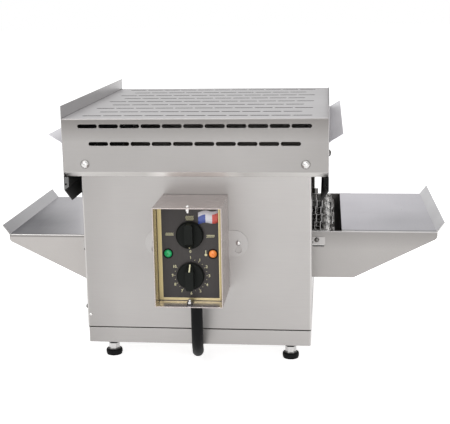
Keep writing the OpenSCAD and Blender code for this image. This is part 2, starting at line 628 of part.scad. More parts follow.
/* ---- cable and glands ---- */
module box_gland() color(black) at_origin() translate([cable_route[0][0], cable_route[0][1], 0]) {
    translate([0, 0, cable_route[0][2]]) cylinder(d = 22, h = box_z0 - cable_route[0][2]);
    translate([0, 0, box_z0 - 1]) cylinder(r = 9, h = sheet + 2);
    translate([0, 0, box_z0 + sheet]) cylinder(d = 24, h = 4, $fn = 6);
}
function unit(v) = v / norm(v);
last_point = len(cable_route) - 1;
function heading(i) = unit(cable_route[min(i + 1, last_point)] - cable_route[max(i - 1, 0)]);
module base_grommet() color(black) at_origin() translate([grommet[0], grommet[1], foot_h]) difference() {
    union() {
        translate([0, 0, -1.6]) cylinder(r = 15, h = 1.6);
        translate([0, 0, -1]) cylinder(r = 12.8, h = sheet + 2);
        translate([0, 0, sheet]) cylinder(r = 15, h = 1.6);
    }
    translate([0, 0, -5]) cylinder(r = 11.8, h = 12);
}
clamp_z = cable_route[last_point][2];
module cable_clamp() color(steel) at_origin() translate([grommet[0], 0, 0]) {
    translate([-13, 38, clamp_z]) cube([26, 22.5, 12]);
    translate([-13, 60, foot_h + sheet]) cube([26, sheet, clamp_z + 12 - foot_h - sheet]);
    translate([-13, 60, foot_h + sheet]) cube([26, 12, sheet]);
    for (x = [-9.5, 9.5]) translate([x, 38, clamp_z + 6]) dome(6, 2);
}

// Tube swept along the route: a ring of points square to the path at each route point
cable_sides = 12;
function ring(i) = let (t = heading(i), u = unit(cross(t, [1, 0, 0])), v = cross(t, u))
    [for (k = [0 : cable_sides - 1]) let (a = k * 360 / cable_sides)
        cable_route[i] + cable_d / 2 * (cos(a) * u + sin(a) * v)];
module loop_cable() color(black) at_origin() {
    points = [for (i = [0 : last_point]) each ring(i)];
    walls = [for (i = [0 : last_point - 1], k = [0 : cable_sides - 1]) let (m = (k + 1) % cable_sides)
        [i * cable_sides + k, (i + 1) * cable_sides + k, (i + 1) * cable_sides + m, i * cable_sides + m]];
    first = [for (k = [0 : cable_sides - 1]) k];
    last = [for (k = [cable_sides - 1 : -1 : 0]) last_point * cable_sides + k];
    polyhedron(points, concat([first], walls, [last]));
}
module mains_gland() color(black) at_origin() translate([140, body_y1, 112]) rotate([-90, 0, 0]) difference() {
    union() {
        translate([0, 0, -sheet - 5]) cylinder(d = 22, h = 5, $fn = 6);
        translate([0, 0, -sheet - 0.5]) cylinder(r = 8, h = sheet + 1);
        cylinder(d = 22, h = 6, $fn = 6);
        translate([0, 0, 6]) cylinder(d1 = 20, d2 = 15, h = 9);
    }
    translate([0, 0, -10]) cylinder(r = 4.5, h = 30);
}
module terminal_block() color("white") at_origin() translate([40, body_y1 - sheet - 16, 104]) difference() {
    cube([60, 16, 20]);
    for (k = [0 : 4]) translate([6 + 12 * k, 8, 10]) cylinder(r = 2.5, h = 12);
}

/* ---- fasteners and feet ---- */
module hood_bolts() color("silver") at_origin() {
    for (x = [-166, 166]) both_y() translate([x, 0, hood_bottom + 12]) {
        screw(14, 5, 2.5, body_y0 + sheet + 4);
        translate([0, body_y0 + sheet, 0]) rotate([-90, 0, 0]) cylinder(d = 9, h = 3.5, $fn = 6);
    }
    both_x() both_y() translate([hood_x, 15, hood_top - 54]) rotate([0, 0, 90]) screw(11, 3.5, 2, 5);
}
module small_screws() color("silver") at_origin() {
    for (s = [[-1, side_screw[0]], [-1, hood_d - side_screw[0]], [1, hood_d - side_screw[0]]])
        translate([s[0] * body_x, s[1], side_screw[1]]) rotate([0, 0, 90 * s[0]]) screw(8, 3, 1.8, 4.4);
    translate([-169.6, body_y0, 76.2]) screw(5.6, 1.8, 1.5, 5);
    both_x() translate([168, body_y1, 104]) rotate([0, 0, 180]) screw(5, 1.8, 1.5, 5);
    bracket_screws(bracket_z);
    mirror([1, 0, 0]) bracket_screws(bracket_z - tray_drop);
    for (x = [-hang_x, hang_x]) translate([x, box_y1, hang_z]) screw(8, 2.6, 2, 8);
}
module bracket_screws(z) both_y() {
    translate([side_x + bracket_screw[0], tray_y0 - sheet, z + bracket_screw[1]])
        screw(8, 2.6, 2, sheet + tray_t + 0.1);
    translate([side_x + sheet, 68, z + 6]) rotate([0, 0, 90]) screw(5, 1.5, 1.5, 2.4);
}
module foot_nuts() color("silver") at_origin() for (x = [-foot_x, foot_x], y = foot_y)
    translate([x, y, foot_h - 7]) difference() {
        cylinder(d = 17, h = 7, $fn = 6);
        translate([0, 0, -1]) cylinder(r = 4 + fit, h = 9);
    }
// Rubber pad with a rounded shoulder, the hexagon it is turned by, and its threaded rod
module foot(x, y) translate([x, y, 0]) {
    rotate_extrude() {
        polygon([[0, 0], [12, 0], [13, 3.5], [13, 6.5], [10, 9.5], [0, 9.5]]);
        translate([10, 6.5]) circle(3);
    }
    translate([0, 0, 9.5]) intersection() {
        cylinder(d = 17.6, h = 12, $fn = 6);
        cylinder(d1 = 22, d2 = 16, h = 12);
    }
    translate([0, 0, 21]) cylinder(r = 4, h = 29);
}
module foot_front_left() color(black) at_origin() foot(-foot_x, foot_y[0]);
module foot_front_right() color(black) at_origin() foot(foot_x, foot_y[0]);
module foot_rear_left() color(black) at_origin() foot(-foot_x, foot_y[1]);
module foot_rear_right() color(black) at_origin() foot(foot_x, foot_y[1]);

base_pan();
body_front();
body_rear();
body_left_side();
body_right_side();
inner_front_wall();
inner_rear_wall();
hood_cover();
hood_left_side();
hood_right_side();
upper_reflector();
upper_tubes();
upper_tube_caps();
lower_reflectors();
lower_tubes();
lower_tube_caps();
mesh_belt();
drive_shaft();
idler_shaft();
belt_rail_front();
belt_rail_rear();
shaft_bushes();
belt_slide_bars();
rail_spacers();
chain_sprocket();
motor_sprocket();
drive_chain();
gear_motor();
motor_posts();
feed_tray();
delivery_tray();
tray_brackets();
crumb_tray();
crumb_guides();
control_box();
control_panel();
selector_knob();
selector_spindle();
selector_switch();
speed_knob();
speed_spindle();
speed_regulator();
green_lamp();
orange_lamp();
box_screws();
hanger_plate();
box_gland();
base_grommet();
cable_clamp();
loop_cable();
mains_gland();
terminal_block();
hood_bolts();
small_screws();
foot_nuts();
foot_front_left();
foot_front_right();
foot_rear_left();
foot_rear_right();
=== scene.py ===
# %% [markdown]
# # A conveyor toaster, dressed for the camera
# The toaster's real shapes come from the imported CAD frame: sheet steel, knobs, wire belt, chain.
# This lesson gives each of them a finish built from nodes, and adds the thin things that CAD
# leaves out, such as dial numbers, a gold panel edge and the heating coils. The frame is loaded
# first, so everything after it can ask where a piece is instead of guessing.

# %% Load the frame
import math

import bpy
import numpy as np
from mathutils import Matrix, Vector


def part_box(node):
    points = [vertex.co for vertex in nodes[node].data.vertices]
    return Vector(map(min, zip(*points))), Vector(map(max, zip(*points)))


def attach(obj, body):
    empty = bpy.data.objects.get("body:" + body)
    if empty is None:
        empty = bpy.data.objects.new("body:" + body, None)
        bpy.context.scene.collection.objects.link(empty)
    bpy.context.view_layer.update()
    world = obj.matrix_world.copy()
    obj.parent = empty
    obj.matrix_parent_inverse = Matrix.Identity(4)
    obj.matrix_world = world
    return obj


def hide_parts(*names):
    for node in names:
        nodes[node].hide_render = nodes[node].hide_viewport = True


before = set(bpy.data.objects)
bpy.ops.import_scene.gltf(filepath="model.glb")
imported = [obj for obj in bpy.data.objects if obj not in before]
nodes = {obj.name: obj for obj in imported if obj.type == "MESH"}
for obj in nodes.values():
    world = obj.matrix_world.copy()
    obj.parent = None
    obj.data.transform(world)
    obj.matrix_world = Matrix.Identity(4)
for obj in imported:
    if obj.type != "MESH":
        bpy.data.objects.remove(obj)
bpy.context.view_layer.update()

# %% [markdown]
# The toaster was drawn in millimetres from a point a maker would use: the middle of its body, the
# front face of its hood, the worktop. `here` turns such a place into the frame's metres, so every
# later number can be read off a workshop drawing.

# %% A workshop ruler
MIDDLE = np.array([26.0, 184.75, 0.0])    # the frame's origin, on the drawing
PANEL_Y = -60.5                           # face of the control panel
KNOB_Z = (223.3, 161.7)                   # axes of the selector and of the speed knob
LAMP_X, LAMP_Z = 33, 194.8                # the lamps lie this far left and right of the middle
FULL_TURN = 2 * np.pi


def here(points):
    """Millimetres on the drawing to metres in the frame: less the middle, divided by 1000."""
    return (np.asarray(points, float) - MIDDLE) / 1000.0


print("panel face at", here([0, PANEL_Y, KNOB_Z[0]]).round(4))

# %% [markdown]
# ## Camera and studio
# A camera is a point, three directions and a lens. The directions are worked out from three
# turns: yaw round the vertical, pitch down towards the toaster, and a slight roll. Writing the
# matrix out is clearer than a tracking constraint, and it holds in any other view too.

# %% Place the camera
YAW, PITCH, ROLL = -0.1061, 0.2226, -0.0166    # radians
EYE = [197.15, -1427.11, 568.5]                # on the drawing
SENSOR, LENS = 36.0, 78.41                     # millimetres

ahead = np.array([math.sin(YAW) * math.cos(PITCH), math.cos(YAW) * math.cos(PITCH),
                  -math.sin(PITCH)])
level = np.array([math.cos(YAW), -math.sin(YAW), 0.0])
upward = np.cross(level, ahead)
right = math.cos(ROLL) * level + math.sin(ROLL) * upward
top = -math.sin(ROLL) * level + math.cos(ROLL) * upward
eye = here(EYE)

lens = bpy.data.cameras.new("camera")
lens.sensor_fit, lens.sensor_width, lens.lens = "HORIZONTAL", SENSOR, LENS
camera = bpy.data.objects.new("camera", lens)
camera.matrix_world = Matrix([[right[i], top[i], -ahead[i], eye[i]] for i in range(3)]
                             + [[0, 0, 0, 1]])
bpy.context.scene.collection.objects.link(camera)
bpy.context.scene.camera = camera
bpy.context.scene.view_settings.view_transform = "Standard"
print("camera at", eye.round(3))

# %% [markdown]
# The studio is a pale floor, an evenly lit room and three soft lamps. Steel shows whatever is
# round it, so the room is white for camera, mirror and glass rays, and dimmer for the light it
# gives. Nodes are easier to read when each is made in one line, which `add` does: it makes a node,
# sets its inputs, and links any input that is given another node's output.

# %% A helper that makes and wires nodes
class Wiring:
    """The nodes of a material, world or group, and their links."""

    def __init__(self, owner):
        self.owner = owner
        if not isinstance(owner, bpy.types.NodeTree):
            owner.use_nodes = True
            owner = owner.node_tree
        self.nodes, self.links = owner.nodes, owner.links
        self.nodes.clear()

    def fill(self, socket, value):
        """Links an output to a socket, or sets its value. Three numbers make an opaque colour."""
        if isinstance(value, bpy.types.NodeSocket):
            self.links.new(value, socket)
        else:
            socket.default_value = (*value, 1) if socket.type == "RGBA" else value

    def add(self, kind, settings=None, **inputs):
        """One node. inputs are socket names with _ for spaces, or i0, i1 for sockets by number."""
        node = self.nodes.new("ShaderNode" + kind)
        for key, value in (settings or {}).items():
            setattr(node, key, value)
        for key, value in inputs.items():
            label = int(key[1:]) if key[1:].isdigit() else key.replace("_", " ")
            self.fill(node.inputs[label], value)
        return node


print("wiring ready")

# %% [markdown]
# The same few nodes come back in every finish: sums, ramps, noise, blends. `Tree` gives each one
# a word, so that a finish reads like its recipe.

# %% Short names for the nodes that come back
class Tree(Wiring):
    """Wiring with one word for each common step, which gives the new node's output."""

    def maths(self, what, a, b=0.0):
        """One sum on values: what is Blender's name for it, such as DIVIDE or MAXIMUM."""
        return self.add("Math", {"operation": what}, i0=a, i1=b).outputs[0]

    def plus(self, a, b):
        """a + b"""
        return self.maths("ADD", a, b)

    def minus(self, a, b):
        """a - b"""
        return self.maths("SUBTRACT", a, b)

    def times(self, a, b):
        """a times b"""
        return self.maths("MULTIPLY", a, b)

    def size(self, a):
        """The value without its sign."""
        return self.maths("ABSOLUTE", a)

    def vector(self, what, a, b=(0, 0, 0), give="Vector"):
        """One sum on vectors; give is Value for a length or a dot product."""
        return self.add("VectorMath", {"operation": what}, i0=a, i1=b).outputs[give]

    def parts(self, vector):
        """X, Y and Z of a vector."""
        return self.add("SeparateXYZ", Vector=vector).outputs

    def normal(self):
        """Which way the surface faces."""
        return self.add("NewGeometry").outputs["Normal"]

    def ramp(self, value, low, high, start=0.0, end=1.0):
        """A value stretched so that low becomes start and high becomes end, held between them."""
        return self.add("MapRange", Value=value, From_Min=low, From_Max=high, To_Min=start,
                        To_Max=end).outputs[0]

    def noise(self, place, scale, detail, roughness=0.5, twist=0.0):
        """Noise with about scale lumps to the metre."""
        return self.add("TexNoise", Vector=place, Scale=scale, Detail=detail, Roughness=roughness,
                        Distortion=twist).outputs[0]

    def blend(self, share, a, b, how="MIX"):
        """Two colours mixed by share, from 0 for the first to 1 for the second."""
        return self.add("Mix", {"data_type": "RGBA", "blend_type": how},
                        i0=share, i6=a, i7=b).outputs[2]

    def coats(self, colour, *layers):
        """A colour with layers of (share, colour) laid over it, one after another."""
        for share, layer in layers:
            colour = self.blend(share, colour, layer)
        return colour

    def bump(self, height, strength, distance, **normal):
        """A normal tilted by height; distance is how many metres a height of 1 stands for."""
        return self.add("Bump", Height=height, Strength=strength, Distance=distance,
                        **normal).outputs[0]

    def use(self, group, **inputs):
        """One placed copy of a group, with its own values. Gives its outputs."""
        return self.add("Group", {"node_tree": group.owner}, **inputs).outputs

    def show(self, **inputs):
        """Ends a material: a Principled shader with these inputs, on the surface."""
        skin = self.add("BsdfPrincipled", **inputs)
        self.add("OutputMaterial", Surface=skin.outputs[0])
        return self.owner

    def seen(self):
        """1 for rays from the camera, off mirrors and through glass, 0 for light on things."""
        path = self.add("LightPath").outputs
        shiny = self.maths("MAXIMUM", path["Is Glossy Ray"], path["Is Transmission Ray"])
        return self.maths("MAXIMUM", path["Is Camera Ray"], shiny)


print("tree ready")

# %% The room
ROOM_GIVES, ROOM_SHOWS = 0.5, 1.0
WHITE = (1, 1, 1)

room = bpy.data.worlds.new("room")
bpy.context.scene.world = room
tree = Tree(room)
strength = tree.ramp(tree.seen(), 0.0, 1.0, ROOM_GIVES, ROOM_SHOWS)
background = tree.add("Background", Color=WHITE, Strength=strength)
tree.add("OutputWorld", Surface=background.outputs[0])
print("room gives", ROOM_GIVES, "and shows", ROOM_SHOWS)

# %% [markdown]
# New surfaces are grids of points. Each cell of the grid becomes one four-sided face, and a
# direction that closes on itself wraps round. A tube is such a grid too, closed round its
# section. Every shape is a pair of points and faces, so that shapes can be joined before `place`
# makes them one piece.

# %% Meshes from grids
def grid_faces(rows, columns, closed_u=False, closed_v=False):
    """Corners of each cell: itself, one row on, one row and one column on, one column on."""
    u = np.arange(rows if closed_u else rows - 1)[:, None]
    v = np.arange(columns if closed_v else columns - 1)[None, :]
    on_u, on_v = (u + 1) % rows, (v + 1) % columns
    corners = [u * columns + v, on_u * columns + v, on_u * columns + on_v, u * columns + on_v]
    return np.stack(corners, -1).reshape(-1, 4)


def grid(points, **closed):
    """Points and faces of a surface points[u, v]."""
    return points.reshape(-1, 3), grid_faces(*points.shape[:2], **closed).tolist()


def tube(rings, join=False):
    """Points and faces of rings[along, round]. An open tube gets a face at each end."""
    rows, sides = rings.shape[:2]
    faces = grid_faces(rows, sides, join, True)[:, [0, 3, 2, 1]].tolist()
    if not join:
        last = (rows - 1) * sides
        faces += [list(range(sides - 1, -1, -1)), list(range(last, last + sides))]
    return rings.reshape(-1, 3), faces


def joined(parts):
    """Several (points, faces) as one: each part's corners count on from the points before it."""
    points, faces, base = [], [], 0
    for part_points, part_faces in parts:
        points.append(part_points)
        faces += [[corner + base for corner in face] for face in part_faces]
        base += len(part_points)
    return np.concatenate(points), faces


def place(name, shape, material, body=None, smooth=True):
    """Makes (points, faces) a piece of one material and lets it ride on a body."""
    points, faces = shape
    mesh = bpy.data.meshes.new(name)
    mesh.from_pydata(points.tolist(), [], faces)
    mesh.validate()
    mesh.materials.append(material)
    if smooth:
        mesh.shade_smooth()
    piece = bpy.data.objects.new(name, mesh)
    bpy.context.scene.collection.objects.link(piece)
    if body:
        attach(piece, body)
    print(name, len(mesh.polygons), "faces")
    return piece


print("mesh helpers ready")

# %% [markdown]
# The floor is a disc on a grid of radius and angle. Its own light is added only for rays that
# look at it, and grows with distance, so the far floor melts into the white room while the
# toaster still throws its shadow near its feet.

# %% The floor
FLOOR_GREY = (0.8, 0.8, 0.8)
NEAR, FAR = 0.5, 2.4                 # metres from the toaster between which the glow grows
NEAR_GLOW, FAR_GLOW = 0.75, 1.0
HUB, RIM, FLOOR_Z = 0.0005, 14.0, -0.0002


def start_material(name):
    """A new material's tree, with the object coordinate ready as its spot."""
    tree = Tree(bpy.data.materials.new(name))
    tree.spot = tree.add("TexCoord").outputs["Object"]
    return tree


tree = start_material("floor_paint")
distance = tree.vector("LENGTH", tree.spot, give="Value")
glow = tree.times(tree.seen(), tree.ramp(distance, NEAR, FAR, NEAR_GLOW, FAR_GLOW))
paint = tree.add("BsdfDiffuse", Color=FLOOR_GREY)
light = tree.add("Emission", Color=WHITE, Strength=glow)
both = tree.add("AddShader", i0=paint.outputs[0], i1=light.outputs[0])
tree.add("OutputMaterial", Surface=both.outputs[0])

radius = np.linspace(HUB, RIM, 30)[:, None]
angle = np.linspace(0, FULL_TURN, 96, endpoint=False)[None, :]
disc = np.stack([radius * np.cos(angle), radius * np.sin(angle), 0 * radius * angle + FLOOR_Z], -1)
floor = place("floor", grid(disc, closed_v=True), tree.owner)

# %% Three soft lamps
AIM = (0, 0, 0.2)
LAMPS = {"key": ((-0.9, -1.7, 1.9), 1.3, 22),     # place, side in metres, watts
         "fill": ((0.7, -2.2, 0.75), 1.2, 10),
         "top": ((0.1, 0.4, 2.2), 1.6, 14)}

for name, (at, side, watts) in LAMPS.items():
    data = bpy.data.lights.new(name, "AREA")
    data.shape, data.size, data.energy = "SQUARE", side, watts
    lamp = bpy.data.objects.new(name, data)
    turn = (Vector(AIM) - Vector(at)).to_track_quat("-Z", "Y").to_matrix().to_4x4()
    lamp.matrix_world = Matrix.Translation(at) @ turn
    bpy.context.scene.collection.objects.link(lamp)
print("lamps:", *LAMPS)

# %% [markdown]
# ## Finishes shared by several pieces
# Sheet steel, cast paint and black plastic share a few effects: fine grain, wiping smears, heat
# tint, soot, worn edges, dust. Each is a node group made once. A group gives out only colours,
# masks and values; the shader itself stays in the material, where constants such as IOR sit on
# its sockets.

# %% A helper that starts a node group
def start_group(name, inputs, outputs):
    """A group's tree, what it is given and what it gives. A socket's default says its type: a
    number for a value, three numbers or None for a vector."""
    group = bpy.data.node_groups.new(name, "ShaderNodeTree")
    tree = Tree(group)
    for direction, sockets in (("INPUT", inputs), ("OUTPUT", outputs)):
        for label, default in sockets.items():
            kind = "NodeSocketFloat" if isinstance(default, float) else "NodeSocketVector"
            socket = group.interface.new_socket(label, in_out=direction, socket_type=kind)
            if default is not None:
                socket.default_value = default
    print("group", name)
    return (tree, tree.nodes.new("NodeGroupInput").outputs,
            tree.nodes.new("NodeGroupOutput").inputs)


# %% [markdown]
# Brushed steel is covered with hair-fine lines from an abrasive belt. Noise drawn out along one
# direction looks the same, and costs far less than real scratches. `Stretch` says how many lines
# fit into a metre along each axis: small along the brushing, large across it.

# %% Group: brushing
brushing, give, take = start_group(
    "brushing", {"Place": None, "Stretch": (30, 30, 900)}, {"Lines": 0.0, "Cloud": 0.0})
drawn_out = brushing.vector("MULTIPLY", give["Place"], give["Stretch"])
brushing.fill(take["Lines"], brushing.noise(drawn_out, 1.0, 5.0, 0.75))
brushing.fill(take["Cloud"], brushing.noise(give["Place"], 7.0, 3.0))

# %% [markdown]
# A catering machine is wiped every day. A wipe leaves no scratch that shows from a metre away,
# only broad smears where the gloss changes. They are one slow, slightly twisted noise.

# %% Group: wiping smears
wiping, give, take = start_group("wiping", {"Place": None, "Size": 9.0}, {"Smears": 0.0})
slow = wiping.noise(give["Place"], give["Size"], 2.0, 0.6, 0.6)
wiping.fill(take["Smears"], wiping.ramp(slow, 0.35, 0.75))

# %% [markdown]
# Steel that is held at two hundred degrees turns straw, then brown, then blue as its oxide skin
# grows. The group gives one mask that fades with distance from a hot line, broken up by noise;
# each material picks the colours.

# %% Group: heat
heat, give, take = start_group(
    "heat", {"Place": None, "Hot Height": 0.28, "Reach": 0.08}, {"Tint": 0.0})
off = heat.size(heat.minus(heat.parts(give["Place"])["Z"], give["Hot Height"]))
away = heat.maths("DIVIDE", off, give["Reach"])
ragged = heat.noise(give["Place"], 14.0, 4.0)
heat.fill(take["Tint"], heat.ramp(heat.plus(away, ragged), 1.5, 0.5))

# %% [markdown]
# A toaster is black inside and bright outside, on the same sheet; the black is soot and also
# painted shade of the closed chamber. Which side of a sheet is the
# inside follows from its normal: on the inner side the normal points towards the chamber, so its
# dot product with the way there is positive. `Reach` keeps the soot and painted shade in a box
# round the chamber's middle, off the guards and flaps that stand outside it. No second mesh is
# needed for the sooty, shaded side.

# %% Group: soot
soot_and_shade, give, take = start_group(
    "soot_and_shade", {"Place": None, "Chamber": (0, 0, 0.3), "Reach": (1, 1, 1)}, {"Mask": 0.0})
way_in = soot_and_shade.vector("SUBTRACT", give["Chamber"], give["Place"])
looks_in = soot_and_shade.vector("DOT_PRODUCT", way_in, soot_and_shade.normal(), give="Value")
past = soot_and_shade.parts(soot_and_shade.vector("SUBTRACT", soot_and_shade.vector("ABSOLUTE", way_in), give["Reach"]))
furthest = soot_and_shade.maths("MAXIMUM", past["X"], soot_and_shade.maths("MAXIMUM", past["Y"], past["Z"]))
soot_and_shade.fill(take["Mask"], soot_and_shade.times(soot_and_shade.ramp(looks_in, 0.0, 0.0005),
                                   soot_and_shade.ramp(furthest, 0.0003, 0.0)))

# %% [markdown]
# Edges catch light because a press brake never folds them sharp, and because hands polish them.
# The Bevel node looks round each point and returns a normal bent over the edge. Where that normal
# leaves the true one there is an edge, which makes a mask for wear and for painted highlights as
# well.

# %% Group: edges
edges, give, take = start_group("edges", {"Radius": 0.0006}, {"Normal": None, "Edge": 0.0})
bent = edges.add("Bevel", {"samples": 6}, Radius=give["Radius"]).outputs[0]
agree = edges.vector("DOT_PRODUCT", bent, edges.normal(), give="Value")
edges.fill(take["Normal"], bent)
edges.fill(take["Edge"], edges.ramp(agree, 0.995, 0.8))

# %% [markdown]
# Dust and crumbs settle on faces that look up. The mask is the upward part of the normal times a
# speckled noise.

# %% Group: settled dust
dust, give, take = start_group("dust", {"Place": None}, {"Mask": 0.0})
specks = dust.noise(give["Place"], 160.0, 6.0, 0.7)
dust.fill(take["Mask"], dust.times(dust.ramp(dust.parts(dust.normal())["Z"], 0.5, 1.0),
                                   dust.ramp(specks, 0.52, 0.72)))

# %% [markdown]
# ## Steel sheet
# All the steel sheets are one recipe with different numbers: a grey metal whose brightness
# follows the brushing lines faintly, whose roughness follows the smears, and whose edges carry a
# painted highlight that also stands for polish. The metal is not a full mirror: its roughness
# blurs the room into a soft grey.
# Where two sheets meet, a dark line of dirt lies along the seam, a band round one height. The
# sooty side, painted black for soot and for shade, is matt and not metal, so it takes the metal's
# shine away as well as its colour.

# %% Recipe: steel sheet
EDGE_HIGHLIGHT_AND_POLISH = (0.84, 0.83, 0.81)
SEAM_DIRT = (0.05, 0.045, 0.04)
OXIDE = (0.20, 0.14, 0.09)
CRUMBS = (0.10, 0.06, 0.035)
SOOT_AND_SHADE_BLACK = (0.006, 0.0055, 0.005)
CLEAN_METAL, SOOT_COVER, SOOT_ROUGH, SOOT_DULL = 0.92, 0.94, 0.6, 0.9


def tone_on(tree, tone):
    """A tone as it stands, or the one that a tone function works out on this tree."""
    return tone(tree) if callable(tone) else tone


def steel_sheet(name, tone, stretch, rough=0.36, lines=0.06, heat_at=None, heat_reach=0.06,
                grime=0.0, edge=0.0006, edge_share=0.35, chamber=None, seam=None, edge_on=1.0):
    """A brushed sheet. tone is its colour or a function that gives it, stretch its brushing,
    heat_at the height that runs hot, chamber (middle, reach) of its side painted black with soot
    and shade, seam a height of dirt, and edge_on how much a look along the sheet brightens it,
    less than 1 where greasy."""
    tree = start_material(name)
    spot = tree.spot
    grain = tree.use(brushing, Place=spot, Stretch=stretch)
    smears = tree.use(wiping, Place=spot)["Smears"]
    rim = tree.use(edges, Radius=edge)
    shade = tree.plus(1.0 - lines, tree.times(grain["Lines"], 2 * lines))
    shade = tree.times(shade, tree.ramp(grain["Cloud"], 0.3, 0.7, 0.965, 1.035))
    tint = tree.add("CombineColor", Red=shade, Green=shade, Blue=shade).outputs[0]
    colour = tree.blend(1.0, tone_on(tree, tone), tint, "MULTIPLY")
    # painted highlight along the edges, which also stands for polish
    colour = tree.blend(tree.times(rim["Edge"], edge_share), colour, EDGE_HIGHLIGHT_AND_POLISH)
    if seam:
        off = tree.size(tree.minus(tree.parts(spot)["Z"], seam))
        colour = tree.blend(tree.ramp(off, 0.0011, 0.0007), colour, SEAM_DIRT)
    if heat_at:
        hot = tree.use(heat, Place=spot, Hot_Height=heat_at, Reach=heat_reach)["Tint"]
        colour = tree.blend(tree.times(hot, 0.55), colour, OXIDE)
    if grime:
        film = tree.use(dust, Place=spot)["Mask"]
        colour = tree.blend(tree.times(film, grime), colour, CRUMBS)
    roughness = tree.plus(tree.times(grain["Lines"], 0.16), tree.times(smears, 0.07))
    roughness = tree.plus(roughness, rough - 0.1)
    metal = CLEAN_METAL
    if chamber:
        # soot and painted shade on the inner side: black, rougher and not metal
        middle, reach = chamber
        black = tree.use(soot_and_shade, Place=spot, Chamber=tuple(here(middle)),
                         Reach=tuple(np.array(reach) / 1000))["Mask"]
        colour = tree.blend(tree.times(black, SOOT_COVER), colour, SOOT_AND_SHADE_BLACK)
        roughness = tree.plus(roughness, tree.times(black, SOOT_ROUGH))
        metal = tree.minus(CLEAN_METAL, tree.times(black, SOOT_DULL))
    return tree.show(Base_Color=colour, Roughness=roughness, Metallic=metal,
                     Specular_Tint=(edge_on, edge_on, edge_on),
                     Normal=tree.bump(grain["Lines"], 0.12, 0.0004, Normal=rim["Normal"]))


def dress(material, *names):
    """Gives CAD nodes a material in their first slot."""
    for name in names:
        slots = nodes[name].data.materials
        slots.clear()
        slots.append(material)
    print(material.name, "on", *names)


# %% [markdown]
# The trays take a cooler tone on their floors, which look up, and a warm one on their walls,
# which look at the room, and a tone of their own on their ends: painted light by which way they
# face. The floor's outer part is painted darker than the part under the hood, with a few darker
# patches: painted reflection of the room. The walls get painted shade just under the floor's edge
# and a painted highlight along the fold, and the closed space below is painted unlit.

# %% Helpers: which way a point faces, where it is, and a soft patch
def facing_and_place(tree):
    """The parts of the normal, and the parts of the object coordinate."""
    return tree.parts(tree.normal()), tree.parts(tree.spot)


def sideways(tree, where):
    """Metres to the right of the body's middle: x of the frame plus the middle's x."""
    return tree.plus(where["X"], float(MIDDLE[0]) / 1000)


def soft_patch(tree, x, y, wide, deep):
    """1 at x, y and 0 on an ellipse round it: 1 - length of ((px - x) / wide, (py - y) / deep)."""
    away = tree.vector("SUBTRACT", tree.spot, (x, y, 0))
    away = tree.vector("MULTIPLY", away, (1 / wide, 1 / deep, 0))
    return tree.ramp(tree.vector("LENGTH", away, give="Value"), 1.0, 0.0)


print("facing_and_place, sideways and soft_patch ready")

# %% The tray's tones
# painted reflection patches, painted shade in the front fold and under the floor's edge, and
# painted darkness below
REFLECTION_PATCH_TONE, FOLD_SHADE = (0.03, 0.03, 0.033), (0.10, 0.098, 0.10)
WALL_SHADE, UNLIT = (0.02, 0.019, 0.018), (0.01, 0.01, 0.01)


def tray_tone(line, power, fade, near_floor, far_floor, reflection_patches, front, corner, height, wall,
              under, rim, end):
    """Gives a tone function for a tray, with tones by which way each face looks, as painted light.
    Floor: painted reflection, near_floor to far_floor by the share between the first two values of
    line that x + slant * y passes, slant being the third, raised to power; less towards the rear
    by fade (from, to, share left). reflection_patches are (x, y, wide, deep, share) of darker
    places, and corner is how far painted shade reaches from the front fold at y = front.
    Walls: wall, darker by painted shade under (depth, depth of the darkest part, share) below the
    floor's height, with rim (depth, tone), a painted highlight along the fold, at the top; end is
    the turned-up end's tone."""
    start, stop, slant = line

    def tone(tree):
        facing, where = facing_and_place(tree)
        across = tree.plus(where["X"], tree.times(where["Y"], slant))
        share = tree.maths("POWER", tree.ramp(across, start, stop), power)
        forward = tree.ramp(where["Y"], fade[0], fade[1], 1.0, fade[2])
        dull = [(tree.times(soft_patch(tree, *patch), cover), REFLECTION_PATCH_TONE)
                for *patch, cover in reflection_patches]
        # painted shade in the front fold
        dirt = tree.times(tree.ramp(where["Y"], front + corner, front + corner * 0.75), 0.75)
        floor_tone = tree.coats(near_floor, (tree.times(share, forward), far_floor), *dull,
                                (dirt, FOLD_SHADE), (tree.ramp(where["Z"], 0.150, 0.145), UNLIT))
        below = tree.times(tree.ramp(where["Z"], height - under[0], height - under[1]), under[2])
        # painted highlight along the fold at the wall's top
        rim_highlight = tree.ramp(where["Z"], height - rim[0] * 1.2, height - rim[0])
        return tree.coats(wall, (below, WALL_SHADE), (rim_highlight, rim[1]),
                          (tree.ramp(tree.size(facing["X"]), 0.3, 0.5), end),
                          (tree.ramp(facing["Z"], 0.78, 0.9), floor_tone))
    return tone


left_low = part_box("delivery_tray")[0]
right_low, right_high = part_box("feed_tray")
# the floors' tones, their slant and patches are painted reflection of the room
left_tone = tray_tone(
    line=(-0.2488, -0.322, 0.25), power=0.6, fade=(-0.01, 0.11, 0.45),
    near_floor=(0.57, 0.558, 0.58), far_floor=(0.15, 0.147, 0.16), reflection_patches=[],
    front=float(left_low[1]), corner=0.0032, height=0.187, wall=(0.358, 0.340, 0.328),
    under=(0.0052, 0.0040, 0.45), rim=(0.0020, (0.36, 0.35, 0.34)), end=(0.50, 0.495, 0.505))
right_tone = tray_tone(
    line=(float(right_low[0]), float(right_high[0]), 0.0), power=1.0, fade=(-0.07, 0.13, 0.75),
    near_floor=(0.55, 0.53, 0.572), far_floor=(0.35, 0.342, 0.368),
    reflection_patches=[(0.25, -0.12, 0.30, 0.24, 0.24), (0.285, -0.04, 0.05, 0.10, 0.18)],
    front=float(right_low[1]), corner=0.0095, height=0.197, wall=(0.30, 0.287, 0.278),
    under=(0.030, 0.0, 0.3), rim=(0.0016, (0.40, 0.39, 0.385)), end=(0.48, 0.475, 0.485))
print("tray tones from", round(float(left_low[0]), 3), "to", round(float(right_high[0]), 3))
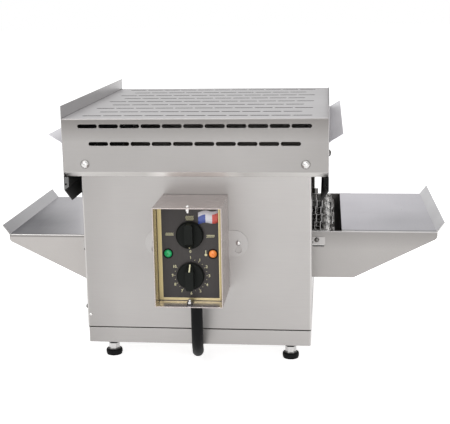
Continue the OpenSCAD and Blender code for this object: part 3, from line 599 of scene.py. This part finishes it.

# %% [markdown]
# The hood's lower lip is bent back under it and carries a painted highlight, so it is paler
# than the front. The upper part of the front carries painted shade, and the right end is darker.
# The hood's sides end in small tabs beside the mouths of the toaster: the left tab is painted lit
# grey and the right one painted black as shadow. The body's front carries a painted highlight
# along its two folded corners.

# %% Tones of hood, body and box
def hood_tone(tree):
    """Duller to the right, by the share of x between 70 and 186 mm, and darker with painted shade
    on the front by the share of z between 350 and 382 mm; paler on the top, as painted light; a
    painted highlight below the lip's fold at 304 mm, strongest over the control box."""
    facing, where = facing_and_place(tree)
    dull = tree.times(tree.ramp(where["X"], 0.044, 0.16), 0.9)
    # painted shade on the upper part of the front
    front_top_shade = tree.times(tree.ramp(where["Z"], 0.350, 0.382), tree.ramp(facing["Z"], 0.5, 0.2))
    over_box = tree.ramp(tree.size(sideways(tree, where)), 0.075, 0.045)
    # painted highlight on the lip, strongest over the control box
    lip_highlight = tree.blend(over_box, (0.56, 0.545, 0.53), (0.86, 0.84, 0.82))
    # the top face's paler tone is painted light
    return tree.coats((0.325, 0.313, 0.305), (dull, (0.26, 0.25, 0.243)),
                      (tree.times(front_top_shade, 0.75), (0.155, 0.145, 0.138)),
                      (tree.ramp(facing["Z"], 0.6, 0.9), (0.385, 0.375, 0.38)),
                      (tree.ramp(where["Z"], 0.3043, 0.3037), lip_highlight))


def hood_side_tone(tab_shading, guard_top_shading):
    """Plain steel, with a painted highlight on the flap past 200.6 mm, and the tab below 297 mm
    that faces the front and the guard's cut top in tones of their own, which carry each side's
    painted light and shadow."""
    def tone(tree):
        facing, where = facing_and_place(tree)
        on_tab = tree.times(tree.ramp(where["Z"], 0.2975, 0.297),
                            tree.ramp(facing["Y"], -0.4, -0.6))
        on_top = tree.times(tree.ramp(where["Z"], 0.4025, 0.403), tree.ramp(facing["Z"], 0.4, 0.6))
        flap_highlight = tree.ramp(tree.size(sideways(tree, where)), 0.2004, 0.2008)
        return tree.coats((0.38, 0.37, 0.372), (on_tab, tab_shading), (flap_highlight, (0.70, 0.69, 0.72)),
                          (on_top, guard_top_shading))
    return tone


def body_tone(tree):
    """Painted shade near the left corner, and a painted highlight on the last millimetre before
    each fold.
    """
    x = sideways(tree, tree.parts(tree.spot))
    left_corner_shade = tree.times(tree.ramp(x, -0.125, -0.165), 0.6)
    fold_highlight = tree.times(tree.ramp(tree.size(x), 0.1722, 0.1730), 0.8)
    return tree.coats((0.352, 0.338, 0.33), (left_corner_shade, (0.29, 0.278, 0.27)),
                      (fold_highlight, (0.50, 0.485, 0.475)))


def box_tone(tree):
    """The control box: a bit paler on top, as painted light. In the recess before the panel, its
    side walls are darkened with painted shade and its floor, under 124 mm, is bright."""
    facing, where = facing_and_place(tree)
    looks_up = tree.ramp(facing["Z"], 0.5, 0.8)
    inner = tree.times(tree.ramp(tree.size(sideways(tree, where)), 0.0486, 0.0484),
                       tree.ramp(tree.size(facing["X"]), 0.4, 0.6))
    recess = tree.times(tree.ramp(where["Z"], 0.1245, 0.124), looks_up)
    # the paler top is painted light and the dark recess walls are painted shade
    return tree.coats((0.41, 0.36, 0.345), (looks_up, (0.46, 0.41, 0.395)),
                      (inner, (0.24, 0.205, 0.175)), (recess, (0.82, 0.79, 0.86)))


print("tones of hood, body and box ready")

# %% Sheets dressed
SIDE_BRUSHED = (18, 18, 700)      # lines lie level, many to the metre going up
TRAY_BRUSHED = (500, 12, 500)     # lines run from front to back
BOX_BRUSHED = (14, 500, 14)
# the soot reach also sets where painted shade darkens the inside
IN_HOOD = ([0, 4, 345], [200.2, 445.6, 40.2])      # middle and reach of the soot, on the drawing
IN_SIDES = ([0, 4, 320], [200.2, 445.6, 65.2])
IN_BODY = ([0, 200, 200], [175, 210, 180])
pan_seam = float(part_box("body_front")[0][2])

dress(steel_sheet("body_steel", body_tone, SIDE_BRUSHED, edge=0.0009, edge_share=0.4,
                  chamber=IN_BODY, seam=pan_seam),
      "base_pan", "body_front", "body_rear", "body_left_side", "body_right_side")
dress(steel_sheet("hood_steel", hood_tone, SIDE_BRUSHED, rough=0.44, edge_share=0.2,
                  chamber=IN_HOOD), "hood_cover")
# left tab and guard top painted lit; right tab and guard top painted black as shadow
dress(steel_sheet("left_side_steel_lit", hood_side_tone((0.13, 0.13, 0.13), (0.40, 0.39, 0.39)),
                  SIDE_BRUSHED, edge_share=0.2, chamber=IN_SIDES), "hood_left_side")
dress(steel_sheet("right_side_steel_shaded", hood_side_tone((0.005, 0.005, 0.005), (0.04, 0.04, 0.04)),
                  SIDE_BRUSHED, edge_share=0.08, chamber=IN_SIDES), "hood_right_side")
dress(steel_sheet("left_tray_steel", left_tone, TRAY_BRUSHED, rough=0.32, edge_on=0.7),
      "delivery_tray")
dress(steel_sheet("right_tray_steel", right_tone, TRAY_BRUSHED, rough=0.32), "feed_tray")
dress(steel_sheet("box_steel", box_tone, BOX_BRUSHED, rough=0.27), "control_box")
dress(steel_sheet("fitting_steel", (0.365, 0.352, 0.345), BOX_BRUSHED, rough=0.32),
      "hanger_plate", "tray_brackets", "cable_clamp")
# inner walls: heat oxide and grime on a near-black tone that is also painted shade of the closed
# chamber
dress(steel_sheet("chamber_steel", (0.022, 0.020, 0.018), (20, 20, 300), rough=0.55, lines=0.1,
                  heat_at=0.24, heat_reach=0.1, grime=0.5),
      "inner_front_wall", "inner_rear_wall", "upper_reflector", "lower_reflectors")
dress(steel_sheet("crumb_steel", (0.34, 0.32, 0.30), (20, 300, 20), rough=0.4, lines=0.1,
                  grime=0.6), "crumb_guides", "crumb_tray")

# %% [markdown]
# ## Wire, shafts and fasteners
# Drawn wire and turned bar are brighter than sheet, because the die or the tool burnishes them.
# They share one recipe: a metal with fine rings or specks, darker in the places that a wipe never
# reaches.

# %% Recipe: turned and drawn metal
SOIL = (0.07, 0.045, 0.03)
BURNISHED = (0.85, 0.84, 0.82)


def bar_metal(name, tone, rough, speck=900.0, dirt=0.0, dirt_tone=SOIL, metallic=0.95):
    """A worn metal bar. speck is the number of marks to the metre, dirt how much soil sticks."""
    tree = start_material(name)
    fine = tree.noise(tree.spot, speck, 3.0)
    broad = tree.noise(tree.spot, 38.0, 5.0, 0.65)
    rim = tree.use(edges, Radius=0.0004)
    soiled = tree.times(tree.ramp(broad, 0.45, 0.75), dirt)
    colour = tree.coats(tone_on(tree, tone), (soiled, dirt_tone),
                        (tree.times(rim["Edge"], 0.3), BURNISHED))
    return tree.show(Base_Color=colour, Roughness=tree.plus(tree.times(fine, 0.2), rough - 0.1),
                     Metallic=metallic,
                     Normal=tree.bump(fine, 0.15, 0.0001, Normal=rim["Normal"]))


def screw_tone(limit):
    """Bright on the front; darker past limit from the middle, on the sides, as painted shade."""
    def tone(tree):
        x = tree.size(sideways(tree, tree.parts(tree.spot)))
        return tree.blend(tree.ramp(x, limit, limit + 0.001), (0.56, 0.55, 0.54),
                          (0.13, 0.125, 0.12))
    return tone


dress(bar_metal("belt_wire", (0.33, 0.32, 0.31), 0.22, dirt=0.55), "mesh_belt")
dress(bar_metal("shaft_steel", (0.56, 0.55, 0.54), 0.3, dirt=0.2), "drive_shaft", "idler_shaft",
      "belt_rail_front", "belt_rail_rear", "belt_slide_bars", "rail_spacers", "selector_spindle",
      "speed_spindle")
dress(bar_metal("chain_steel", (0.16, 0.15, 0.14), 0.38, dirt=0.7, dirt_tone=(0.02, 0.016, 0.012)),
      "chain_sprocket", "motor_sprocket", "drive_chain")
dress(bar_metal("bolt_steel", screw_tone(0.196), 0.2, speck=1500.0), "hood_bolts", "box_screws")
dress(bar_metal("screw_steel", screw_tone(0.172), 0.24, speck=1500.0), "small_screws",
      "motor_posts")
dress(bar_metal("nut_steel", (0.16, 0.155, 0.15), 0.3, speck=1200.0, dirt=0.3), "foot_nuts")
dress(bar_metal("bush_bronze", (0.55, 0.38, 0.16), 0.34, dirt=0.3), "shaft_bushes")

# %% [markdown]
# ## Quartz, ceramic and paint
# The heating tubes are milky quartz round a coil. Quartz keeps a plain transmission weight; its
# milkiness is roughness, with faint amber clouds. The ceramic ends are matt with a few pores, and
# the gear motor is dark paint with orange-peel bumps.

# %% Quartz tubes
tree = start_material("quartz")
milk = tree.noise(tree.spot, 60.0, 3.0)
colour = tree.blend(tree.ramp(milk, 0.3, 0.7), (0.92, 0.88, 0.82), (0.80, 0.72, 0.62))
dress(tree.show(Base_Color=colour, Roughness=tree.plus(0.18, tree.times(milk, 0.2)),
                Transmission_Weight=0.55, IOR=1.46), "upper_tubes", "lower_tubes")


# %% Recipe: moulded or cast, not metal
def moulded(name, tone, rough, grain, bump, second=None, edge_tone=None, edge_share=0.3,
            gloss=0.5):
    """Plastic, rubber, ceramic or paint: a tone that varies slowly, fine pores as bump, worn
    edges. gloss is how much of the room a smooth spot would show; 0.5 is plain plastic."""
    tree = start_material(name)
    fine = tree.noise(tree.spot, grain, 4.0, 0.6)
    slow = tree.noise(tree.spot, 24.0, 2.0)
    rim = tree.use(edges)
    other = second or tuple(part * 1.35 for part in tone)
    colour = tree.blend(tree.ramp(slow, 0.3, 0.7), tone, other)
    if edge_tone:
        colour = tree.blend(tree.times(rim["Edge"], edge_share), colour, edge_tone)
    return tree.show(Base_Color=colour, Specular_IOR_Level=gloss,
                     Roughness=tree.plus(rough - 0.08, tree.times(fine, 0.16)),
                     Normal=tree.bump(fine, bump, 0.0003, Normal=rim["Normal"]))


knob_black = moulded("knob_black", (0.006, 0.007, 0.006), 0.42, 1400.0, 0.12, gloss=0.1,
                     second=(0.010, 0.0115, 0.010), edge_tone=(0.04, 0.045, 0.04), edge_share=0.2)
rubber = moulded("black_rubber", (0.006, 0.006, 0.0065), 0.6, 900.0, 0.3, gloss=0.1)
# dark brown caps: heat stain, and painted shade inside the hood
dress(moulded("burnt_shaded_ceramic", (0.16, 0.12, 0.08), 0.75, 700.0, 0.2, second=(0.30, 0.25, 0.19),
              gloss=0.3), "upper_tube_caps", "lower_tube_caps")
dress(moulded("ceramic", (0.62, 0.58, 0.50), 0.7, 700.0, 0.2, second=(0.72, 0.69, 0.62)),
      "terminal_block", "selector_switch")
dress(knob_black, "selector_knob", "speed_knob", "speed_regulator")
dress(rubber, "loop_cable", "box_gland", "base_grommet", "mains_gland")
dress(moulded("motor_paint", (0.06, 0.065, 0.07), 0.45, 260.0, 0.35, edge_tone=(0.3, 0.3, 0.3)),
      "gear_motor")

# %% [markdown]
# ## Feet
# A levelling foot is one turned piece to the eye: a black rubber pad, a bright hexagon above it
# and a threaded rod that disappears into the base. The height says which is which, so one
# material can be rubber below 9.5 mm and steel above it, with a short, hard change between. From
# 19 mm up the steel is painted dark as the shadow under the base. The thread is a saw line of the
# height, used as bump on the rod alone.

# %% Feet
PITCH_HALF = 0.0006      # metres from a thread's valley to its crest, along the rod

tree = start_material("foot_finish")
height = tree.parts(tree.spot)["Z"]
is_steel = tree.ramp(height, 0.0094, 0.0097)
in_base_shadow = tree.ramp(height, 0.0188, 0.0192)
is_rod = tree.ramp(height, 0.0215, 0.0216)
fine = tree.noise(tree.spot, 900.0, 4.0, 0.6)
dull = tree.blend(fine, (0.003, 0.003, 0.003), (0.008, 0.008, 0.009))
bright = tree.blend(fine, (0.42, 0.41, 0.41), (0.60, 0.59, 0.58))
# painted shadow under the base from 19 mm up
bright = tree.blend(in_base_shadow, bright, (0.03, 0.03, 0.03))
thread = tree.times(tree.maths("PINGPONG", height, PITCH_HALF), is_rod)
relief = tree.plus(tree.times(thread, 900.0), tree.times(fine, 0.2))
roughness = tree.minus(tree.plus(0.55, tree.times(fine, 0.15)), tree.times(is_steel, 0.33))
rim = tree.use(edges, Radius=0.0005)
dress(tree.show(Base_Color=tree.blend(is_steel, dull, bright), Metallic=is_steel,
                Roughness=roughness, Specular_IOR_Level=0.12,
                Normal=tree.bump(relief, 0.3, 0.0004, Normal=rim["Normal"])),
      "foot_front_left", "foot_front_right", "foot_rear_left", "foot_rear_right")

# %% [markdown]
# ## The control panel
# The panel is a dark anodised plate with a pale gold edge. Anodising follows the brushed
# aluminium under it, so the plate keeps a faint vertical grain, and smears from fingers show
# round the knobs.

# %% Panel plate and gold
tree = start_material("panel_black")
grain = tree.use(brushing, Place=tree.spot, Stretch=(900, 900, 16))
smears = tree.use(wiping, Place=tree.spot, Size=22.0)["Smears"]
colour = tree.coats((0.031, 0.027, 0.026), (grain["Lines"], (0.055, 0.049, 0.046)),
                    (tree.times(smears, 0.2), (0.09, 0.085, 0.088)))
dress(tree.show(Base_Color=colour, Metallic=0.25, Specular_IOR_Level=0.35,
                Roughness=tree.plus(0.38, tree.times(smears, 0.12)),
                Normal=tree.bump(grain["Lines"], 0.08, 0.0003)), "control_panel")


def gold_tone(tree):
    """Pale gold, deeper on the left upright and deepest on the right one."""
    x = sideways(tree, tree.parts(tree.spot))
    return tree.coats((0.62, 0.52, 0.28),
                      (tree.ramp(x, -0.0405, -0.0415), (0.52, 0.435, 0.225)),
                      (tree.ramp(x, 0.0425, 0.0435), (0.335, 0.27, 0.135)))


gold = bar_metal("gold_edge", gold_tone, 0.34, speck=1200.0, dirt=0.15,
                 dirt_tone=(0.34, 0.27, 0.13), metallic=0.85)

# %% [markdown]
# The gold edge is a rectangle with mitred corners, so its four corner points alone make it: the
# outer corners sit on the panel's rim, the inner ones a width inside, both lifted by the
# thickness of the metal foil.

# %% The gold edge
PANEL_SIDE, PANEL_FOOT, PANEL_HEAD = 47.7, 124.0, 267.0
GOLD_WIDTH = (6.0, 3.7)      # on the uprights, and at the ends
FOIL = 0.35


def picture_frame(outer, inset, lift):
    """A flat frame: four corners (x, z), the same corners moved in by inset, at the plate and at
    the lift, as rings round its section."""
    inner = outer - np.sign(outer - outer.mean(0)) * np.asarray(inset, float)
    rings = [(outer, 0.0), (outer, lift), (inner, lift), (inner, 0.0)]
    return np.stack([np.stack([ring[:, 0], np.full(4, PANEL_Y - out), ring[:, 1]], 1)
                     for ring, out in rings], 1)


corners = np.array([[-PANEL_SIDE, PANEL_FOOT], [PANEL_SIDE, PANEL_FOOT],
                    [PANEL_SIDE, PANEL_HEAD], [-PANEL_SIDE, PANEL_HEAD]])
edge_grid = here(picture_frame(corners, GOLD_WIDTH, FOIL))
place("panel_edge", grid(edge_grid, closed_u=True, closed_v=True), gold, "housing", smooth=False)

# %% [markdown]
# ### Dial numbers
# Numbers on a dial are plain text, a curve that Blender fills. It is made a mesh first, and then
# its points are carried to the panel: x stays x, the text's height becomes z, and its thickness
# points out of the plate.

# %% Numbers round the speed knob
NUMBER_SIZE, NUMBER_RING, ZERO_Z = 5.6, 27.2, 198.1
INK_HALF, INK_SPREAD = 0.06, 0.14     # half the ink's thickness; how much bolder than the font
STEP = math.radians(30)               # from one number to the next
pale_ink = moulded("pale_ink", (0.86, 0.81, 0.52), 0.5, 2000.0, 0.05, second=(0.74, 0.70, 0.42))


def corners_of(mesh):
    """A mesh's points as one array, a row each."""
    flat = np.empty(len(mesh.vertices) * 3)
    mesh.vertices.foreach_get("co", flat)
    return flat.reshape(-1, 3)


def number(text, x, z):
    """A number's points and faces: (x + tx, plate - thickness, z + ty), centred on x and z."""
    curve = bpy.data.curves.new("number", "FONT")
    curve.body, curve.size, curve.extrude, curve.offset = text, NUMBER_SIZE, INK_HALF, INK_SPREAD
    curve.align_x, curve.align_y = "CENTER", "CENTER"
    holder = bpy.data.objects.new("number", curve)
    bpy.context.scene.collection.objects.link(holder)
    bpy.context.view_layer.update()
    ready = holder.evaluated_get(bpy.context.evaluated_depsgraph_get())
    mesh = bpy.data.meshes.new_from_object(ready)
    bpy.data.objects.remove(holder)
    flat = corners_of(mesh)
    flat[:, :2] -= (flat[:, :2].min(0) + flat[:, :2].max(0)) / 2
    points = np.stack([x + flat[:, 0], PANEL_Y - INK_HALF - flat[:, 2], z + flat[:, 1]], 1)
    faces = [list(face.vertices) for face in mesh.polygons]
    bpy.data.meshes.remove(mesh)
    return here(points), faces


numbers = [number(str(k), NUMBER_RING * math.sin(STEP * k),
                  KNOB_Z[1] + NUMBER_RING * math.cos(STEP * k)) for k in range(1, 11)]
numbers.append(number("0", 0.0, ZERO_Z))
place("dial_numbers", joined(numbers), pale_ink, "housing", smooth=False)

# %% [markdown]
# Printed lines and symbols are ribbons: a path in the panel's plane, given a width and the
# thickness of a coat of ink. One function makes them all. At each point of the path the two sides
# lie half a width away, square to the path's direction, once at the plate and once at the ink's
# top.

# %% Ribbons of ink
INK_TOP, INK_ROOT = 0.12, 0.02     # above the plate, and sunk into it


def ribbon(path, width, join=False, normal=(0, -1, 0)):
    """A flat bar along a path: at each point, plus and minus half the width times the side
    direction (path direction cross normal), once at the ink's root and once at its top."""
    path, normal = np.asarray(path, float), np.asarray(normal, float)
    normal = normal / np.linalg.norm(normal)
    along = np.roll(path, -1, 0) - np.roll(path, 1, 0) if join else np.gradient(path, axis=0)
    along = along / np.linalg.norm(along, axis=1)[:, None]
    side = np.cross(along, normal) * width / 2
    high, low = path + normal * INK_TOP, path - normal * INK_ROOT
    return tube(here(np.stack([low - side, high - side, high + side, low + side], 1)), join)


def on_panel(points):
    """Points given as (x, z) on the panel's face, as millimetres on the drawing."""
    points = np.asarray(points, float)
    return np.stack([points[:, 0], np.full(len(points), PANEL_Y), points[:, 1]], 1)


print("ribbons are", INK_TOP, "mm high")

# %% [markdown]
# ### Symbols
# In place of words the selector has drawn symbols: the upper heat, the lower heat and both
# together, each a toothed line like a heating element over or under a slice. Ticks between the
# numbers and a small thermometer by the orange lamp finish the panel.

# %% Signs of an element and a slice
SIGN_WIDE, TOOTH = 12.0, 1.6
SLICE_LINE, ELEMENT_LINE, ELEMENT_OFF = 0.9, 0.7, 2.2


def element(x, z):
    """A heating element's sign: a level line whose height steps up and down as a square wave."""
    along = np.repeat(np.arange(0, 11), 2)[1:-1] / 10.0
    step = np.array([0, 0, 1, 1] * 5)
    return on_panel(np.stack([x + (along - 0.5) * SIGN_WIDE, z + (step - 0.5) * TOOTH], 1))


def slice_sign(x, z):
    """A slice seen from its edge: one plain level line."""
    return on_panel(np.stack([x + np.linspace(-0.5, 0.5, 5) * SIGN_WIDE, np.full(5, z)], 1))


SIGNS = (((0.0, 248.1), (1, -1)), ((-30.0, 222.6), (1,)), ((30.0, 222.6), (-1,)))
bars = []
for (x, z), heated in SIGNS:      # 1 is an element over the slice, -1 one under it
    bars.append(ribbon(slice_sign(x, z), SLICE_LINE))
    bars += [ribbon(element(x, z + ELEMENT_OFF * way), ELEMENT_LINE) for way in heated]
print("signs", len(bars), "bars")

# %% Ticks, a mark over the zero and a thermometer
TICK = math.radians(15)
ZERO_TICK, LONG_TICK, SHORT_TICK = (25.2, 29.4), (23.0, 24.9), (23.3, 24.6)
BULB_X, BULB_Z, BULB_RING, BULB_LINE = 22.6, 193.2, 1.1, 1.7

for k in range(0, 21):
    ray = np.array([math.sin(TICK * k), math.cos(TICK * k)])
    reach = SHORT_TICK if k % 2 else LONG_TICK if k else ZERO_TICK
    bars.append(ribbon(on_panel([[0, KNOB_Z[1]] + ray * r for r in reach]), 0.6 if k else 0.9))
bars.append(ribbon(on_panel([[0, 202.5], [0, 204.5]]), 0.9))
bars.append(ribbon(on_panel([[BULB_X, 194.6], [BULB_X, 200.0]]), 1.3))
around = np.linspace(0, FULL_TURN, 16, endpoint=False)
bulb = np.stack([BULB_X + BULB_RING * np.cos(around), BULB_Z + BULB_RING * np.sin(around)], 1)
bars.append(ribbon(on_panel(bulb), BULB_LINE, join=True))
place("panel_symbols", joined(bars), pale_ink, "housing", smooth=False)

# %% [markdown]
# ### Pointer marks
# Both grips are cut off at a slope towards their pointing end. The speed knob's slope is filled
# with pale paint from the grip down to the rim; the selector has only a short stroke of it near
# the rim. The strokes lie on the slope, so their normal leans out by three parts and along the
# grip by four. They ride on the knobs, and turn with them.

# %% Pointer marks
GRIP_TALL, SLOPE_FROM, FALL = 19, 10, 4 / 3
mark_paint = moulded("mark_paint", (0.90, 0.86, 0.52), 0.5, 1500.0, 0.05,
                     second=(0.98, 0.94, 0.62))


def slope(radial, knob_z, way):
    """A point on the cut, radial mm from the axis: 19 mm out at 10, falling 4 for each 3."""
    return [0, PANEL_Y - 0.3 - (GRIP_TALL - (radial - SLOPE_FROM) * FALL), knob_z + way * radial]


def pointer_mark(name, knob_z, way, start, stop, width, body):
    """A stroke down the slope, way 1 for up and -1 for down the panel."""
    stroke = ribbon([slope(start, knob_z, way), slope(stop, knob_z, way)], width,
                    normal=(0, -0.6, 0.8 * way))
    place(name, stroke, mark_paint, body, smooth=False)


pointer_mark("speed_mark", KNOB_Z[1], 1, 10.3, 18.7, 1.9, "speed_control")
pointer_mark("selector_mark", KNOB_Z[0], -1, 16.4, 18.7, 1.5, "selector")

# %% [markdown]
# ### A waving sticker
# A small three-coloured sticker sits at the panel's upper right. It is a sheet over two
# parameters: across, and up, with its height shifted by a sine of the distance across. Its own UV
# map carries the three stripes and the plain band over them, so they follow the wave.

# %% Sticker paint
BLUE, PAPER, RED = (0.085, 0.13, 0.46), (0.93, 0.91, 0.97), (0.86, 0.12, 0.09)

tree = start_material("sticker_paint")
across, up = tree.parts(tree.add("UVMap", {"uv_map": "UVMap"}).outputs[0])[:2]
stripes = tree.add("ValToRGB", i0=across)
stripes.color_ramp.interpolation = "CONSTANT"
steps = stripes.color_ramp.elements
steps[0].color, steps[1].color = (*BLUE, 1), (*PAPER, 1)
steps[1].position = 0.37
steps.new(0.71).color = (*RED, 1)
band = tree.maths("GREATER_THAN", tree.minus(up, tree.times(across, 0.17)), 0.62)
wear = tree.noise(tree.spot, 320.0, 4.0)
colour = tree.coats(stripes.outputs[0], (band, PAPER),
                    (tree.times(tree.ramp(wear, 0.55, 0.8), 0.2), (0.7, 0.67, 0.66)))
sticker_paint = tree.show(Base_Color=colour, Coat_Weight=0.3,
                          Roughness=tree.plus(0.3, tree.times(wear, 0.25)))
print("sticker paint with", len(steps), "stripes")

# %% Three-coloured sticker
STICKER_X, STICKER_WIDE = 12.3, 28.9
STICKER_Z, STICKER_RISE, STICKER_TALL = 239.0, 3.4, 17.8
WAVE, WAVE_FROM = 1.5, 0.05
COLUMNS, ROWS = 33, 3

u = np.linspace(0, 1, COLUMNS)[:, None]
v = np.linspace(0, 1, ROWS)[None, :]
x = STICKER_X + STICKER_WIDE * u + 0 * v
z = (STICKER_Z + STICKER_RISE * u + STICKER_TALL * v
     + WAVE * np.sin(FULL_TURN * (u - WAVE_FROM)))
sheet_points = np.stack([x, np.full_like(x, PANEL_Y - 0.15), z], -1)
sticker = place("sticker", grid(here(sheet_points)), sticker_paint, "housing")
share = np.stack(np.broadcast_arrays(u, v), -1).reshape(-1, 2)
corners = np.empty(len(sticker.data.loops), int)
sticker.data.loops.foreach_get("vertex_index", corners)
sticker.data.uv_layers.new(name="UVMap").data.foreach_set("uv", share[corners].ravel())
thick = sticker.modifiers.new("thickness", "SOLIDIFY")
thick.thickness, thick.offset = 0.00012, 0.0

# %% [markdown]
# ### Lamps
# Each lamp is a coloured lens held in a dark ring. The colour is deepest at its middle, where one
# looks through most of it, brighter round that, and nearly black where the ring shades it. The
# pattern is centred on the lens with a Mapping node.

# %% Lamp lenses
def lens_material(name, core, bright, ring, centre):
    """A coloured lens, by distance from its centre: core, bright at 2 to 5 mm, ring at 6 mm."""
    tree = start_material(name)
    local = tree.add("Mapping", Vector=tree.spot, Location=tuple(-centre)).outputs[0]
    out = tree.vector("LENGTH", tree.vector("MULTIPLY", local, (1, 0, 1)), give="Value")
    milk = tree.noise(local, 700.0, 2.0)
    colour = tree.coats(core, (tree.ramp(out, 0.0006, 0.0024), bright),
                        (tree.ramp(out, 0.0052, 0.0060), ring))
    return tree.show(Base_Color=colour, Roughness=tree.plus(0.22, tree.times(milk, 0.1)),
                     Emission_Color=colour, Emission_Strength=0.25)


LENSES = {"green": (-LAMP_X, (0.005, 0.20, 0.05), (0.02, 0.36, 0.12), (0.004, 0.06, 0.02)),
          "orange": (LAMP_X, (0.75, 0.16, 0.02), (0.88, 0.27, 0.06), (0.22, 0.05, 0.01))}
for name, (x, *tones) in LENSES.items():
    dress(lens_material(name + "_lens", *tones, here([x, PANEL_Y, LAMP_Z])), name + "_lamp")

# %% [markdown]
# The dark ring round each lens is a small moulded collar. Its section is a low rounded hump;
# turning that section round the lamp's axis gives a surface of two parameters, round and across.

# %% Lamp collars
COLLAR_IN, COLLAR_OUT, COLLAR_TALL = 5.9, 7.6, 1.3


def collar(x, z):
    """A hump turned round an axis: radius from outer to inner, height = tall * sqrt(sin(pi
    share)). Wrapping the section from its last point to its first closes the flat underside."""
    share = np.linspace(0, 1, 9)[None, :]
    turn = np.linspace(0, FULL_TURN, 40, endpoint=False)[:, None]
    radius = COLLAR_OUT + (COLLAR_IN - COLLAR_OUT) * share + 0 * turn
    lift = COLLAR_TALL * np.sqrt(np.clip(np.sin(np.pi * share), 0, 1)) + 0 * turn
    return np.stack([x + radius * np.sin(turn), PANEL_Y - lift, z + radius * np.cos(turn)], -1)


for name, x in (("green_collar", -LAMP_X), ("orange_collar", LAMP_X)):
    ring = grid(here(collar(x, LAMP_Z)), closed_u=True, closed_v=True)
    place(name, ring, knob_black, "housing")

# %% [markdown]
# ## Heating coils
# Inside each quartz tube lies a coil of resistance wire. Its line is a helix: round the tube's
# axis by an angle, and along it in step with that angle. A thin ring of points is carried along
# it. Four sides to the ring are enough at this size, and keep each coil light.

# %% Coils
COIL_TURNS, PER_TURN, COIL_SIDES = 62, 12, 4
WIRE_RADIUS, COIL_SHARE = 0.0005, 0.55     # metres; the coil's radius as a share of the tube's
COIL_STOPS = 0.012                         # metres from each end of the tube
coil_metal = bar_metal("coil_metal", (0.20, 0.17, 0.15), 0.5, speck=600.0, dirt=0.5)


def coil_points(start, end, radius):
    """Tube on a helix: centre = start + (end - start) t + radius (cos, sin of 2 pi turns t), and
    round it a ring of the wire's radius in the plane of the outward and axial directions."""
    axis = (end - start) / np.linalg.norm(end - start)
    one = np.cross(axis, [0, 0, 1.0])
    one /= np.linalg.norm(one)
    two = np.cross(axis, one)
    t = np.linspace(0, 1, COIL_TURNS * PER_TURN + 1)[:, None]
    phase = FULL_TURN * COIL_TURNS * t
    outward = np.cos(phase) * one + np.sin(phase) * two
    line = start + (end - start) * t + radius * outward
    ring = np.linspace(0, FULL_TURN, COIL_SIDES, endpoint=False)[None, :, None]
    return line[:, None, :] + WIRE_RADIUS * (np.cos(ring) * outward[:, None, :]
                                             + np.sin(ring) * axis[None, None, :])


def tube_boxes(name):
    """Lowest and highest corner of each tube in a CAD node: a gap in x starts the next tube."""
    points = corners_of(nodes[name].data)
    points = points[np.argsort(points[:, 0])]
    gaps = np.where(np.diff(points[:, 0]) > 0.004)[0] + 1
    return [(tube_points.min(0), tube_points.max(0)) for tube_points in np.split(points, gaps)]


coils = []
for name in ("upper_tubes", "lower_tubes"):
    for lowest, highest in tube_boxes(name):
        centre, half = (lowest + highest) / 2, (highest - lowest) / 2
        reach = np.array([0, half[1] - COIL_STOPS, 0])
        coils.append(tube(coil_points(centre - reach, centre + reach, half[0] * COIL_SHARE)))
place("heating_coils", joined(coils), coil_metal, "housing")

# %% [markdown]
# ## The loop cable
# A short thick cable leaves the control box downwards and goes up into the body behind it. CAD
# holds its route as straight stretches; here a smooth curve goes through the same points, and a
# ring of 28 points is swept along it. Near the box it widens into its moulded strain relief.

# %% Sweep the loop cable
ROUTE = np.array([[4.4, -40, 119], [4.4, -40, 92], [4.4, -39.5, 72], [4.2, -37, 58],
                  [3.4, -31.5, 46.5], [2.4, -22, 36.5], [1.2, -10, 27.5], [-0.8, 2, 21.5],
                  [-2.2, 12, 18.5], [-4, 24, 17.5], [-5.2, 34, 19], [-6, 41, 24],
                  [-6.5, 45, 31.5], [-6.5, 46.5, 38.5], [-6.5, 46.5, 46]], float)
CABLE_RADIUS, RELIEF, RELIEF_REACH, CABLE_SIDES = 8.75, 0.6, 9.0, 28


def smooth_route(points, per_span=8):
    """A curve through the points: on each span, four neighbours weighted by the cubic that passes
    through the middle two with matching slopes."""
    padded = np.vstack([2 * points[0] - points[1], points, 2 * points[-1] - points[-2]])
    t = np.linspace(0, 1, per_span, endpoint=False)[None, :, None]
    p0, p1, p2, p3 = (padded[i:len(padded) - 3 + i, None, :] for i in range(4))
    curve = 0.5 * (2 * p1 + (p2 - p0) * t + (2 * p0 - 5 * p1 + 4 * p2 - p3) * t ** 2
                   + (3 * p1 - p0 - 3 * p2 + p3) * t ** 3)
    return np.vstack([curve.reshape(-1, 3), points[-1]])


def swept(line, radii):
    """Rings round a line: at each point, radius times (cos, sin) in the plane square to it."""
    along = np.gradient(line, axis=0)
    along /= np.linalg.norm(along, axis=1)[:, None]
    one = np.cross(along, [1.0, 0, 0])
    one /= np.linalg.norm(one, axis=1)[:, None]
    two = np.cross(along, one)
    turn = np.linspace(0, FULL_TURN, CABLE_SIDES, endpoint=False)[None, :, None]
    return line[:, None, :] + radii[:, None, None] * (np.cos(turn) * one[:, None, :]
                                                      + np.sin(turn) * two[:, None, :])


line = smooth_route(ROUTE)
gone = np.concatenate([[0], np.cumsum(np.linalg.norm(np.diff(line, axis=0), axis=1))])
rings = swept(line, CABLE_RADIUS + RELIEF * np.exp(-(gone / RELIEF_REACH) ** 2))
cable = place("loop_cable_skin", tube(here(rings)), rubber, "housing")
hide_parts("loop_cable")
print("loop cable", round(float(gone[-1])), "mm long")
